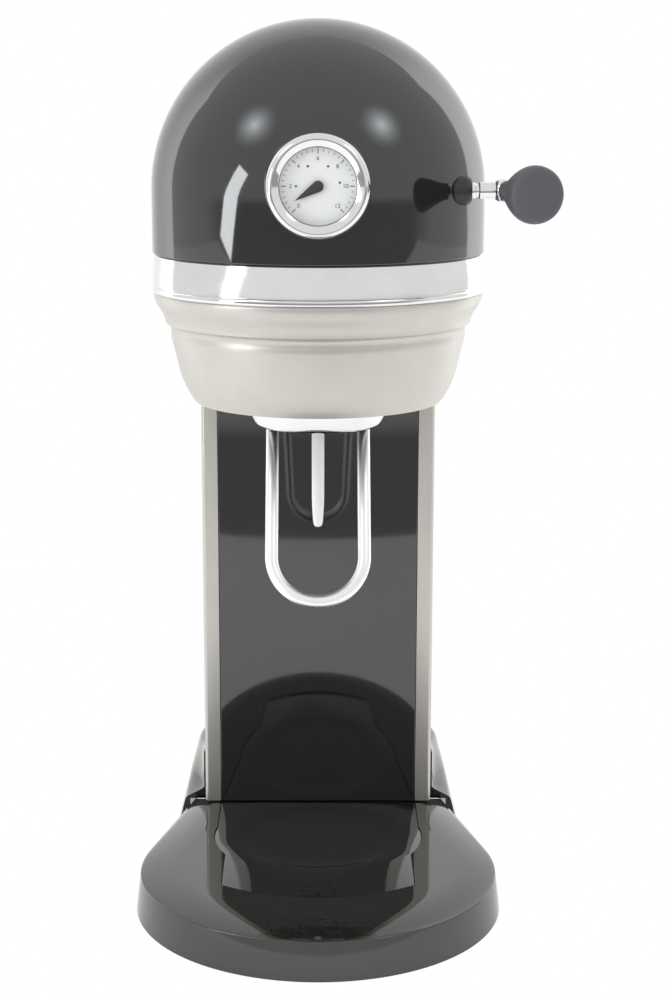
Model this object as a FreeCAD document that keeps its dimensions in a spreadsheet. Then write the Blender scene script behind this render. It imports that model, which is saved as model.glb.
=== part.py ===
import FreeCAD, Part
import math
import os
import re

import Sketcher
from FreeCAD import Placement, Rotation, Vector

# Countertop soda carbonator, millimetres.
# Origin on the table under the bottle's axis, +X to the right, +Y to the back, +Z up.
# A round-fronted base carries a column of two stiles and a glossy panel. The column carries a
# bullet-shaped head, whose lever opens the gas cylinder's valve through a pull rod and a rocker.

DIMENSIONS = {
    # clearances
    "seam": 0.3, "running": 0.05, "lift": 1.0,
    # base
    "base_radius": 86.6, "base_centre": -32.4, "base_top": 22, "base_draft": 6.9,
    "base_taper": 14.2, "base_end": 60, "base_wall": 4, "base_round": 3, "base_skin": 4,
    "plate_low": 3, "plate_thick": 2, "plate_rear_half": 56, "plate_end": 114,
    "foot_radius": 9, "foot_front": -88, "foot_side": 62, "foot_side_y": -40,
    "foot_rear": 46, "foot_rear_y": 104,
    "screw_radius": 1.7, "screw_head": 3.4, "screw_head_high": 1.5, "boss_radius": 4.2,
    "shoe_half": 74, "shoe_end": 133, "shoe_top": 45, "shoe_draft": 14.5, "shoe_corner": 34,
    "shoe_round": 5, "shoe_lap": 14, "shoe_wall": 6, "shoe_floor": 4,
    # tray with the bottle's rest
    "tray_half": 50, "tray_radius": 51, "tray_front_half": 44.8, "tray_front_radius": 76,
    "tray_thick": 3, "tray_low": 0.4, "dish_radius": 42, "dish_deep": 1.2,
    # column
    "panel_half": 50, "panel_front": 45.7, "panel_thick": 3, "stile_width": 8,
    "column_back": 62, "column_skin": 2.5, "spine_thick": 2, "stile_skin": 2, "stile_bevel": 1.2,
    "cover_low": 46, "cover_high": 239.5, "latch_half": 14, "latch_low": 216, "latch_high": 232,
    "latch_thick": 3, "latch_travel": 4, "latch_proud": 1.5,
    # gas cylinder
    "bottle_y": 84, "bottle_radius": 30, "bottle_low": 28, "bottle_shoulder": 288,
    "bottle_neck_radius": 12, "neck_bore": 5, "bottle_wall": 2.5, "bottle_neck": 314,
    "bottle_round": 4, "valve_radius": 7, "valve_high": 338, "valve_collar": 3,
    "cup_wall": 2.5, "cup_high": 38, "clip_low": 170, "clip_high": 190, "clip_wall": 2,
    # head
    "head_length": 62, "dome_radius": 76.6, "dome_centre": 337.4, "dome_wall": 2.5,
    "band_radius": 77.4, "band_low": 291.3, "band_high": 309.1, "band_wall": 3.3,
    "collar_low": 240, "collar_web": 3, "collar_wall": 3, "collar_foot_radius": 59,
    "collar_round_radius": 62.3, "collar_round_high": 244.9, "collar_waist_radius": 68.5,
    "collar_waist": 271.4, "bead_radius": 69.4, "bead_high": 278, "bead_proud": 1.4, "bead_deep": 1.6,
    "collar_round": 9, "collar_tuck": 1.5, "flare_radius": 75.2,
    "flare_high": 284.7, "lip_radius": 76.2, "mouth_radius": 44,
    "ledge_low": 278, "ledge_in": 62, "chassis_low": 282, "chassis_thick": 4,
    "chassis_radius": 67.5, "pillar_x": 64.8, "pillar_y": 5,
    # bottle carrier
    "pivot_high": 262, "bowl_low": 228, "bowl_high": 256, "bowl_low_radius": 28.4,
    "bowl_high_radius": 33.6, "bowl_wall": 1.5, "bowl_lip": 1.7, "bowl_roll": 3,
    "bowl_spread": 1.1, "bowl_rise": 3.4, "core_low": 250,
    "core_high": 268, "core_radius": 29.6, "core_flange": 3, "socket_radius": 16.8,
    "socket_deep": 6, "trunnion_radius": 4, "arm_in": 38, "arm_thick": 4, "arm_half": 8, "port_lift": 12,
    "port_wall": 1.5, "port_long": 3,
    "nozzle_radius": 3, "nozzle_tip": 178, "nozzle_top": 272, "seal_thick": 3, "seal_hole": 3.4,
    "loop_wire": 3, "loop_half": 21.25, "loop_leg": 77.4, "loop_lean": 30, "loop_high": 240,
    "loop_y": -1, "loop_pin": 2, "lug_radius": 3.6, "lug_thick": 1.8,
    # lever train
    "lever_y": -42, "lever_high": 339, "shaft_radius": 3.75, "shaft_in": -30, "shaft_out": 79,
    "elbow_radius": 5.2, "elbow_x": 81.4, "knob_splay": 17, "knob_long": 40, "knob_radius": 12.5,
    "knob_dish": 0.8, "bush_radius": 6.4, "bush_in": 57, "bush_out": 67.5, "bush_bore": 4.1,
    "bush_edge": 1.3,
    "frame_in": 20, "frame_wall": 4, "frame_half": 9, "frame_high": 350, "crank_reach": 10,
    "crank_half": 3, "crank_hub": 7.5, "pin_radius": 2, "boss_wall": 2.4, "pin_end": 9,
    "rod_x": 6, "rod_radius": 2.5,
    "eye_half": 2.4, "eye_radius": 5, "eye_slot": 2.5, "eye_rim": 0.8, "eye_top": 3.2,
    "rocker_y": 70, "rocker_reach": 18,
    "nose_radius": 4, "ear_in": 10, "ear_thick": 4, "ear_half": 5, "guide_y": 18, "guide_half": 4,
    "spring_start": 9.6, "spring_wire": 1, "spring_radius": 5.6,
    # valve block
    "bridge_half": 46, "bridge_low": 330, "bridge_thick": 5, "bridge_deep": 13,
    "block_half": 16, "block_front": 75.2, "block_end": 100, "block_high": 352,
    "plunger_radius": 2.5, "plunger_low": 343.5, "nose_gap": 0.15, "relief_radius": 5,
    "relief_long": 10, "relief_step": 1.5, "port_high": 345, "tube_radius": 2,
    # gauge
    "gauge_high": 342.7, "bezel_radius": 22.7, "bezel_front": -82, "bezel_back": -69.5,
    "bezel_window": 15.6, "bezel_edge": 1.5, "bezel_lip": 19.2, "can_radius": 18.6, "can_back": -58,
    "can_wall": 1.5,
    "dial_front": -76.6, "dial_thick": 1, "dial_radius": 17, "needle_front": -78.2,
    "needle_thick": 0.6, "needle_long": 11.8, "needle_hub": 2.1, "spindle_radius": 0.8,
    "lens_front": -79.8, "lens_thick": 1,
}

document = FreeCAD.newDocument("soda_carbonator")
sheet = document.addObject("Spreadsheet::Sheet", "dim")
for row, (alias, value) in enumerate(DIMENSIONS.items(), 1):
    sheet.set(f"A{row}", alias)
    sheet.set(f"B{row}", str(value))
    sheet.setAlias(f"B{row}", alias)
document.recompute()

probe = document.addObject("App::FeaturePython", "probe")
probe.addProperty("App::PropertyFloat", "Value")
nodes = {}

UPRIGHT = Rotation()
TO_X = Rotation(Vector(0, 1, 0), 90)
TO_Y = Rotation(Vector(1, 0, 0), -90)
TO_FRONT = Rotation(Vector(1, 0, 0), 90)


# ---------------------------------------------------------------- helpers

def bound(formula):
    """A formula whose words are sheet aliases, written for setExpression."""
    word = lambda match: "dim." + match.group() if match.group() in DIMENSIONS else match.group()
    return re.sub(r"[a-z_]+", word, str(formula))


def number(formula):
    """The present value of such a formula."""
    probe.setExpression("Value", bound(formula))
    probe.recompute()
    return probe.Value


def bind(piece, **formulas):
    for name, formula in formulas.items():
        piece.setExpression(name, bound(formula))
    return piece


def place(piece, at, turn=UPRIGHT):
    piece.Placement = Placement(Vector(*[number(part) for part in at]), turn)
    for axis, part in zip("xyz", at):
        piece.setExpression(f"Placement.Base.{axis}", bound(part))
    return piece


def cylinder(name, radius, length, at, turn=UPRIGHT):
    piece = bind(document.addObject("Part::Cylinder", name), Radius=radius, Height=length)
    return place(piece, at, turn)


def box(name, low, high):
    piece = document.addObject("Part::Box", name)
    spans = [f"({top}) - ({bottom})" for bottom, top in zip(low, high)]
    bind(piece, Length=spans[0], Width=spans[1], Height=spans[2])
    return place(piece, low)


def cone(name, radius, end_radius, length, at, turn=UPRIGHT):
    piece = document.addObject("Part::Cone", name)
    bind(piece, Radius1=radius, Radius2=end_radius, Height=length)
    return place(piece, at, turn)


def ball(name, radius, at):
    return place(bind(document.addObject("Part::Sphere", name), Radius=radius), at)


def fuse(name, pieces):
    joined = document.addObject("Part::MultiFuse", name)
    joined.Shapes = pieces
    return joined


def common(name, pieces):
    shared = document.addObject("Part::MultiCommon", name)
    shared.Shapes = pieces
    return shared


def cut(name, piece, tools):
    result = document.addObject("Part::Cut", name)
    result.Base = piece
    result.Tool = tools[0] if len(tools) == 1 else fuse(name + "_tools", tools)
    return result


def node(name, piece):
    """Marks a finished sub-part: its label names its file."""
    piece.Label = name
    nodes[name] = piece
    return piece


def new_sketch(body, name, plane):
    sketch = body.newObject("Sketcher::SketchObject", name)
    support = [item for item in body.Origin.OriginFeatures if item.Role == plane][0]
    sketch.AttachmentSupport = [(support, "")]
    sketch.MapMode = "FlatFace"
    return sketch


def pin_point(sketch, edge, end, x, y):
    for kind, part in (("DistanceX", x), ("DistanceY", y)):
        index = sketch.addConstraint(Sketcher.Constraint(kind, -1, 1, edge, end, number(part)))
        sketch.setExpression(f"Constraints[{index}]", bound(part))


def outline(sketch, points):
    """Closes a loop through points. A point is (x, y), or (x, y, radius, side) where an arc
    leaves it: side is 1 or -1 for the short arc that bulges left or right, 2 or -2 for the long.
    A half circle over a level chord gives its centre's y as a fifth value."""
    spots = [Vector(number(point[0]), number(point[1]), 0) for point in points]
    count = len(points)
    for index, point in enumerate(points):
        start, end = spots[index], spots[(index + 1) % count]
        if len(point) == 2:
            sketch.addGeometry(Part.LineSegment(start, end), False)
            continue
        radius, side = number(point[2]), point[3]
        chord = end - start
        rise = math.sqrt(max(radius ** 2 - chord.Length ** 2 / 4, 0))
        sagitta = radius - rise if abs(side) == 1 else radius + rise
        left = Vector(-chord.y, chord.x, 0).normalize()
        middle = (start + end) * 0.5 + left * math.copysign(sagitta, side)
        sketch.addGeometry(Part.Arc(start, middle, end), False)
    # an arc may store its ends the other way round, so each joint is found by its place
    near = lambda index, spot: min((1, 2), key=lambda end: (sketch.getPoint(index, end) - spot).Length)
    ends = [(near(i, spots[i]), near(i, spots[(i + 1) % count])) for i in range(count)]
    for index, point in enumerate(points):
        following = (index + 1) % count
        sketch.addConstraint(Sketcher.Constraint(
            "Coincident", index, ends[index][1], following, ends[following][0]))
        pin_point(sketch, index, ends[index][0], point[0], point[1])
        if len(point) == 4:
            place_of = sketch.addConstraint(Sketcher.Constraint("Radius", index, number(point[2])))
            sketch.setExpression(f"Constraints[{place_of}]", bound(point[2]))
        if len(point) == 5:
            place_of = sketch.addConstraint(Sketcher.Constraint(
                "DistanceY", -1, 1, index, 3, number(point[4])))
            sketch.setExpression(f"Constraints[{place_of}]", bound(point[4]))
    return sketch


def turned(name, points, at=("0", "0", "0"), turn=UPRIGHT):
    """A body of revolution about its own Z axis; points are (radius, height)."""
    body = document.addObject("PartDesign::Body", name)
    sketch = outline(new_sketch(body, name + "_profile", "XZ_Plane"), points)
    revolution = body.newObject("PartDesign::Revolution", name + "_turn")
    revolution.Profile = sketch
    revolution.ReferenceAxis = (sketch, ["V_Axis"])
    revolution.Angle = 360
    return place(body, at, turn)


def padded(name, points, low, high, draft="0"):
    """A plan outline raised from low to high; a positive draft leans the sides inwards."""
    body = document.addObject("PartDesign::Body", name)
    sketch = outline(new_sketch(body, name + "_plan", "XY_Plane"), points)
    pad = body.newObject("PartDesign::Pad", name + "_pad")
    pad.Profile = sketch
    bind(pad, Length=f"({high}) - ({low})", TaperAngle=f"-({draft})")
    return place(body, ("0", "0", low))


def round_top(body, radius):
    """Rounds the edges of a padded body's top face."""
    document.recompute()
    base = body.Tip
    top = base.Shape.BoundBox.ZMax
    flat = lambda edge: abs(edge.BoundBox.ZMin - top) < 1e-4
    names = [f"Edge{i}" for i, edge in enumerate(base.Shape.Edges, 1) if flat(edge)]
    rounding = body.newObject("PartDesign::Fillet", body.Name + "_round")
    rounding.Base = (base, names)
    bind(rounding, Radius=radius)
    return body


def capsule_ring(name, points):
    """Sweeps a (radius, height) profile round the head's plan: two half circles and two runs."""
    body = document.addObject("PartDesign::Body", name)
    path = new_sketch(body, name + "_path", "XY_Plane")
    radius = "dome_radius"
    outline(path, [(radius, "0"), (radius, "head_length", radius, -1, "head_length"),
                   (f"-{radius}", "head_length"), (f"-{radius}", "0", radius, -1, "0")])
    profile = outline(new_sketch(body, name + "_profile", "XZ_Plane"), points)
    sweep = body.newObject("PartDesign::AdditivePipe", name + "_sweep")
    sweep.Profile = profile
    sweep.Spine = (path, ["Edge1", "Edge2", "Edge3", "Edge4"])
    return body


def capsule(name, radius, low, high):
    """A solid upright capsule plan of the head, from low to high."""
    flank = box(name + "_flank", (f"-({radius})", "0", low), (radius, "head_length", high))
    ends = [cylinder(f"{name}_end_{key}", radius, f"({high}) - ({low})", ("0", centre, low))
            for key, centre in (("front", "0"), ("rear", "head_length"))]
    return fuse(name, [flank] + ends)


def bullet(name, radius, low):
    """The head's solid form: an upright wall with a half-round roof."""
    wall = capsule(name + "_wall", radius, low, "dome_centre")
    caps = []
    for key, centre in (("front", "0"), ("rear", "head_length")):
        cap = ball(f"{name}_cap_{key}", radius, ("0", centre, "dome_centre"))
        cap.Angle1 = 0
        caps.append(cap)
    roof = cylinder(name + "_roof", radius, "head_length", ("0", "0", "dome_centre"), TO_Y)
    ground = box(name + "_ground", (f"-({radius})", "0", "dome_centre"),
                 (radius, "head_length", f"dome_centre + ({radius})"))
    half_roof = common(name + "_half_roof", [roof, ground])
    return fuse(name, [wall, half_roof] + caps)


def column_core(name, grow, low, high, front="panel_front"):
    """The column's full section, widened by grow: straight sides and a half-round back."""
    half = f"(panel_half + stile_width + {grow})"
    back = cylinder(name + "_back", half, f"({high}) - ({low})", ("0", "column_back", low))
    front_half = box(name + "_clip", (f"-{half}", f"{front} - ({grow})", low),
                     (half, f"column_back + {half}", high))
    sides = box(name + "_sides", (f"-{half}", f"{front} - ({grow})", low),
                (half, "column_back", high))
    return fuse(name, [common(name + "_half", [back, front_half]), sides])


def rounded_path(points):
    """A wire of straight runs and tangent arcs, each arc as large as its runs allow."""
    spots = [Vector(*point) for point in points]
    edges, at = [], spots[0]
    for before, corner, after in zip(spots, spots[1:], spots[2:]):
        incoming, outgoing = corner - before, after - corner
        turn = incoming.getAngle(outgoing)
        setback = 0.45 * min(incoming.Length, outgoing.Length)
        radius = setback / math.tan(turn / 2)
        back, forth = (before - corner).normalize(), (after - corner).normalize()
        start, end = corner + back * setback, corner + forth * setback
        middle = corner + (back + forth).normalize() * (radius / math.cos(turn / 2) - radius)
        edges += [Part.LineSegment(at, start).toShape(), Part.Arc(start, middle, end).toShape()]
        at = end
    edges.append(Part.LineSegment(at, spots[-1]).toShape())
    return Part.Wire(edges)


def tube(name, points, radius):
    """A round tube along rounded_path."""
    wire = rounded_path(points)
    first = Vector(*points[1]) - Vector(*points[0])
    section = Part.Wire([Part.makeCircle(radius, Vector(*points[0]), first)])
    piece = document.addObject("Part::Feature", name)
    piece.Shape = wire.makePipeShell([section], True, True)
    expected = math.pi * radius ** 2 * wire.Length
    if abs(piece.Shape.Volume - expected) > 0.01 * expected:
        raise RuntimeError(f"{name}: volume {piece.Shape.Volume:.0f}, expected {expected:.0f}")
    return piece


# ---------------------------------------------------------------- base

def base_plan(inset, end):
    """Half of the plan's points are mirrored: a round front that runs into two tapered flanks."""
    radius = f"(base_radius - ({inset}))"
    side_x = f"{radius} * cos(base_taper * 1 deg)"
    side_y = f"base_centre + {radius} * sin(base_taper * 1 deg)"
    back_x = f"({side_x}) - (({end}) - ({side_y})) * tan(base_taper * 1 deg)"
    return [(back_x, end), (f"-({back_x})", end),
            (f"-({side_x})", side_y, radius, -2), (side_x, side_y)]


def boss_spots():
    """Where the base plate is screwed up into the base and the shoe."""
    return [("foot_side + 6", "base_centre - 22"), ("-(foot_side + 6)", "base_centre - 22"),
            ("foot_side - 4", "30"), ("-(foot_side - 4)", "30"),
            ("foot_rear", "foot_rear_y - 22"), ("-foot_rear", "foot_rear_y - 22")]


def tray_outline(name, grow, low, high):
    """The tray's plan: a channel from the column, a round seat and a rounded front."""
    channel = box(name + "_channel", (f"-(tray_half + {grow})", "0", low),
                  (f"tray_half + {grow}", f"panel_front - seam + {grow}", high))
    seat = cylinder(name + "_seat", f"tray_radius + {grow}", f"({high}) - ({low})", ("0", "0", low))
    strip = box(name + "_strip",
                (f"-(tray_front_half + {grow})", f"-(tray_front_radius + {grow})", low),
                (f"tray_front_half + {grow}", "0", high))
    arc = cylinder(name + "_arc", f"tray_front_radius + {grow}", f"({high}) - ({low})",
                   ("0", "0", low))
    return fuse(name, [channel, seat, common(name + "_front", [strip, arc])])


def make_base():
    outer = padded("base_outer", base_plan("0", "base_end"), "lift", "base_top", "base_draft")
    round_top(outer, "base_round")
    hollow = padded("base_hollow", base_plan("base_wall + 2.5", "base_end + 1"), "0",
                    "base_top - tray_thick - base_skin")
    shell = cut("base_open", outer, [hollow])
    bosses, bores = [], []
    for index, (x, y) in enumerate(boss_spots()[:4]):
        bosses.append(cylinder(f"base_boss_{index}", "boss_radius",
                               "base_top - tray_thick - 1 - plate_low - plate_thick",
                               (x, y, "plate_low + plate_thick")))
        bores.append(cylinder(f"base_bore_{index}", "screw_radius + running", "12",
                              (x, y, "plate_low + plate_thick - 1")))
    recess = tray_outline("base_recess", "seam", "base_top - tray_thick", "base_top + 1")
    node("base_shell", cut("base_shell", fuse("base_bossed", [shell] + bosses), bores + [recess]))

    tray = tray_outline("tray_blank", "0", "base_top - tray_thick", "base_top - tray_low")
    dish = cylinder("tray_dish", "dish_radius", "dish_deep + 1",
                    ("0", "0", "base_top - tray_low - dish_deep"))
    node("bottle_tray", cut("bottle_tray", tray, [dish]))


def make_shoe():
    """The cast foot behind the base, which holds the column's back."""
    half, end, corner = "shoe_half", "shoe_end", "shoe_corner"
    start = "(base_end - shoe_lap)"
    plan = [(half, start), (half, f"{end} - {corner}", corner, -1),
            (f"{half} - {corner}", end), (f"{corner} - {half}", end, corner, -1),
            (f"-{half}", f"{end} - {corner}"), (f"-{half}", start)]
    outer = round_top(padded("shoe_outer", plan, "lift", "shoe_top", "shoe_draft"), "shoe_round")
    inset = "shoe_wall + 1"
    inner_half, inner_end = f"({half} - ({inset}))", f"({end} - ({inset}))"
    inner_corner = f"({corner} - ({inset}))"
    hollow_plan = [(inner_half, "base_end - 1"),
                   (inner_half, f"{inner_end} - {inner_corner}", inner_corner, -1),
                   (f"{inner_half} - {inner_corner}", inner_end),
                   (f"{inner_corner} - {inner_half}", inner_end, inner_corner, -1),
                   (f"-{inner_half}", f"{inner_end} - {inner_corner}"),
                   (f"-{inner_half}", "base_end - 1")]
    hollow = padded("shoe_hollow", hollow_plan, "0", "base_top - shoe_floor")
    socket = column_core("shoe_socket", "seam", "base_top", "shoe_top + 1")
    # the drafted block is cut off square where it meets the base
    front = box("shoe_front", (f"-({half} + 1)", f"{start} - 1", "0"),
                (f"{half} + 1", "base_end + seam", "shoe_top + 1"))
    open_shoe = cut("shoe_open", outer, [hollow, socket, front])
    bosses, bores = [], []
    for index, (x, y) in enumerate(boss_spots()[4:]):
        bosses.append(cylinder(f"shoe_boss_{index}", "boss_radius",
                               "base_top - shoe_floor / 2 - plate_low - plate_thick",
                               (x, y, "plate_low + plate_thick")))
        bores.append(cylinder(f"shoe_bore_{index}", "screw_radius + running", "12",
                              (x, y, "plate_low + plate_thick - 1")))
    node("rear_shoe", cut("rear_shoe", fuse("shoe_bossed", [open_shoe] + bosses), bores))


def make_underside():
    front = padded("plate_front", base_plan("base_wall + 3", "base_end"), "plate_low",
                   "plate_low + plate_thick")
    rear = box("plate_rear", ("-plate_rear_half", "base_end - 10", "plate_low"),
               ("plate_rear_half", "plate_end", "plate_low + plate_thick"))
    holes, screws = [], []
    for index, (x, y) in enumerate(boss_spots()):
        holes.append(cylinder(f"plate_hole_{index}", "screw_radius + running", "plate_thick + 2",
                              (x, y, "plate_low - 1")))
        shank = cylinder(f"base_shank_{index}", "screw_radius", "13", (x, y, "plate_low"))
        head = cylinder(f"base_head_{index}", "screw_head", "screw_head_high",
                        (x, y, "plate_low - screw_head_high"))
        screws.append(fuse(f"base_screw_{index}", [shank, head]))
    node("base_plate", cut("base_plate", fuse("plate_blank", [front, rear]), holes))
    node("base_screws", group("base_screws", screws))
    spots = [("0", "0"), ("0", "foot_front"), ("foot_side", "foot_side_y"),
             ("-foot_side", "foot_side_y"), ("foot_rear", "foot_rear_y"),
             ("-foot_rear", "foot_rear_y")]
    feet = [cone(f"foot_{index}", "foot_radius", "foot_radius + 1", "plate_low", (x, y, "0"))
            for index, (x, y) in enumerate(spots)]
    node("feet", group("feet", feet))


def group(name, pieces):
    """Identical loose pieces that share one node stay separate solids."""
    together = document.addObject("Part::Compound", name)
    together.Links = pieces
    return together


# ---------------------------------------------------------------- column

def make_column():
    low, high = "base_top", "chassis_low"
    node("front_panel", box("front_panel", ("-panel_half + 0.1", "panel_front", low),
                            ("panel_half - 0.1", "panel_front + panel_thick", high)))
    for side, sign in (("left", -1), ("right", 1)):
        inner = f"{sign} * panel_half"
        outer = f"{sign} * (panel_half + stile_width)"
        edge = f"{sign} * (panel_half + stile_width - stile_bevel)"
        skin_x = f"{sign} * (panel_half + stile_width - stile_skin)"
        plan = [(inner, "panel_front"), (edge, "panel_front"), (outer, "panel_front + stile_bevel"),
                (outer, "column_back - seam"), (skin_x, "column_back - seam"),
                (skin_x, "panel_front + panel_thick"), (inner, "panel_front + panel_thick")]
        node(f"{side}_stile", padded(f"{side}_stile", plan, low, high))
    web_front = "panel_front + panel_thick"
    web = box("spine_web", ("-panel_half + seam", web_front, low),
              ("panel_half - seam", f"{web_front} + spine_thick", high))
    wings = []
    for side, sign in (("left", -1), ("right", 1)):
        near = "(panel_half + stile_width - stile_skin - seam)"
        lows, highs = ((f"-{near}", f"-{near} + spine_thick") if sign < 0
                       else (f"{near} - spine_thick", near))
        wings.append(box(f"spine_wing_{side}", (lows, web_front, low),
                         (highs, "column_back", high)))
        link_low = lows if sign < 0 else "panel_half - 1"
        link_high = "-panel_half + 1" if sign < 0 else highs
        wings.append(box(f"spine_link_{side}", (link_low, web_front + " + seam", low),
                         (link_high, f"{web_front} + spine_thick + seam", high)))
    node("column_spine", fuse("column_spine", [web] + wings))

    ring = cylinder("cover_outer", "panel_half + stile_width", "cover_high - cover_low",
                    ("0", "column_back", "cover_low"))
    keep = box("cover_keep", ("-(panel_half + stile_width)", "column_back", "cover_low"),
               ("panel_half + stile_width", "column_back + panel_half + stile_width + 1",
                "cover_high"))
    bore = cylinder("cover_bore", "panel_half + stile_width - column_skin",
                    "cover_high - cover_low + 2", ("0", "column_back", "cover_low - 1"))
    window = box("cover_window", ("-latch_half - seam", "column_back + 30", "latch_low - latch_travel - 1"),
                 ("latch_half + seam", "column_back + 70", "latch_high + 1"))
    node("rear_cover", cut("rear_cover", common("cover_blank", [ring, keep]), [bore, window]))

    back = "(column_back + panel_half + stile_width)"
    pad = box("latch_pad", ("-latch_half", f"{back} - latch_thick - 2", "latch_low"),
              ("latch_half", f"{back} + latch_proud", "latch_high"))
    tongue = box("latch_tongue", ("-latch_half / 2", f"{back} - latch_thick - 1.9", "latch_low"),
                 ("latch_half / 2", f"{back} - latch_thick - 0.4", "cover_high"))
    node("cover_latch", fuse("cover_latch", [pad, tongue]))


def make_cylinder():
    """The gas cylinder in its cup and clip."""
    steel = turned("gas_cylinder", [
        ("0", "bottle_low"), ("bottle_radius - bottle_round", "bottle_low", "bottle_round", -1),
        ("bottle_radius", "bottle_low + bottle_round"), ("bottle_radius", "bottle_shoulder"),
        ("bottle_radius - 6", "bottle_shoulder + 10"), ("bottle_neck_radius", "bottle_neck - 8"),
        ("bottle_neck_radius", "bottle_neck"), ("neck_bore", "bottle_neck"),
        ("neck_bore", "bottle_neck - 10"), ("bottle_radius - 7 - bottle_wall", "bottle_shoulder + 8"),
        ("bottle_radius - bottle_wall", "bottle_shoulder"),
        ("bottle_radius - bottle_wall", "bottle_low + bottle_round + bottle_wall"),
        ("bottle_radius - bottle_round - bottle_wall", "bottle_low + bottle_wall"),
        ("0", "bottle_low + bottle_wall")],
        ("0", "bottle_y", "0"))
    node("gas_cylinder", steel)
    node("cylinder_valve", turned("cylinder_valve", [
        ("0", "bottle_neck"), ("valve_radius + 3", "bottle_neck"),
        ("valve_radius + 3", "bottle_neck + 9"), ("valve_radius", "bottle_neck + 10"),
        ("valve_radius", "valve_high - 1"), ("valve_radius - 1", "valve_high"),
        ("0", "valve_high")], ("0", "bottle_y", "0")))
    node("cylinder_cup", turned("cylinder_cup", [
        ("0", "base_top"), ("bottle_radius + seam + cup_wall", "base_top"),
        ("bottle_radius + seam + cup_wall", "cup_high"), ("bottle_radius + seam", "cup_high"),
        ("bottle_radius + seam", "bottle_low - seam"), ("0", "bottle_low - seam")],
        ("0", "bottle_y", "0")))
    outer = "(bottle_radius + seam + clip_wall)"
    ring = cylinder("clip_ring", outer, "clip_high - clip_low", ("0", "bottle_y", "clip_low"))
    bore = cylinder("clip_bore", "bottle_radius + seam", "clip_high - clip_low + 2",
                    ("0", "bottle_y", "clip_low - 1"))
    gap = box("clip_gap", ("-bottle_radius + 6", "bottle_y", "clip_low - 1"),
              ("bottle_radius - 6", f"bottle_y + {outer} + 1", "clip_high + 1"))
    web_back = "panel_front + panel_thick + spine_thick"
    stem = box("clip_stem", ("-12", web_back, "clip_low"), ("12", "bottle_y - 20", "clip_high"))
    node("cylinder_clip", cut("cylinder_clip", fuse("clip_blank", [ring, stem]), [bore, gap]))


# ---------------------------------------------------------------- head

def make_collar():
    wall = "collar_wall"
    ring = capsule_ring("collar_ring", [
        ("lip_radius", "band_low"), ("flare_radius", "flare_high"),
        ("bead_radius + bead_proud", "bead_high"),
        ("bead_radius - bead_deep", "bead_high - bead_proud"),
        ("bead_radius - bead_deep", "collar_waist + 1"), ("collar_waist_radius", "collar_waist"),
        ("collar_round_radius", "collar_round_high", "collar_round", 1),
        ("collar_foot_radius - collar_tuck", "collar_low"),
        ("collar_foot_radius - collar_tuck", "collar_low + collar_web"),
        (f"collar_round_radius - {wall}", "collar_round_high + 1"),
        (f"collar_waist_radius - {wall}", "ledge_low - 4"), ("ledge_in", "ledge_low"),
        ("ledge_in", "chassis_low"), ("bead_radius - seam", "chassis_low"),
        (f"flare_radius - {wall} + seam", "flare_high + collar_tuck"),
        (f"lip_radius - {wall}", "band_low")])
    web = capsule("collar_web_blank", "collar_foot_radius - 1", "collar_low", "collar_low + collar_web")
    mouth = cylinder("collar_mouth", "mouth_radius", "collar_web + 2", ("0", "0", "collar_low - 1"))
    column = column_core("collar_column", "seam", "collar_low - 1", "ledge_low + 10")
    holes = [cylinder(f"collar_hole_{i}", "screw_radius + 0.3 + running", "8", (x, y, "ledge_low - 3"))
             for i, (x, y) in enumerate(pillar_spots())]
    node("collar", cut("collar", fuse("collar_blank", [ring, web]), [mouth, column] + holes))


def pillar_spots():
    return [(f"{sign} * pillar_x", y) for sign in (-1, 1)
            for y in ("pillar_y", "head_length - pillar_y")]


def make_head():
    node("chrome_band", capsule_ring("chrome_band", [
        ("band_radius - 0.8", "band_low"), ("band_radius", "band_low + 0.8"),
        ("band_radius", "band_high - 0.8"), ("band_radius - 0.8", "band_high"),
        ("band_radius - band_wall", "band_high"), ("band_radius - band_wall", "band_low")]))
    shell = cut("dome_hollow", bullet("dome_outer", "dome_radius", "band_high"),
                [bullet("dome_inner", "dome_radius - dome_wall", "band_high - 1")])
    gauge = cylinder("dome_gauge_hole", "bezel_radius + running", "40",
                     ("0", "bezel_front", "gauge_high"), TO_Y)
    lever = cylinder("dome_lever_hole", "bush_radius + running", "30",
                     ("bush_in - 5", "lever_y", "lever_high"), TO_X)
    node("dome_shell", cut("dome_shell", shell, [gauge, lever]))

    plate = capsule("chassis_blank", "chassis_radius", "chassis_low", "chassis_low + chassis_thick")
    tools = [cylinder("chassis_bottle", "bottle_radius + 2", "20", ("0", "bottle_y", "ledge_low")),
             cylinder("chassis_stem", "14", "20", ("0", "0", "ledge_low")),
             cylinder("chassis_tube", "tube_radius + 3", "20", ("54", "4", "ledge_low"))]
    screws = []
    for index, (x, y) in enumerate(pillar_spots()):
        radius = "(screw_radius + 0.3)"
        tools.append(cylinder(f"chassis_hole_{index}", f"{radius} + running", "20",
                              (x, y, "ledge_low")))
        top = "(chassis_low + chassis_thick)"
        shank = cylinder(f"head_shank_{index}", radius, f"{top} - ledge_low",
                         (x, y, "ledge_low"))
        head = cylinder(f"head_head_{index}", "screw_head", "screw_head_high + 1", (x, y, top))
        screws.append(fuse(f"head_screw_{index}", [shank, head]))
    node("head_chassis", cut("head_chassis", plate, tools))
    node("head_screws", group("head_screws", screws))


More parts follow.
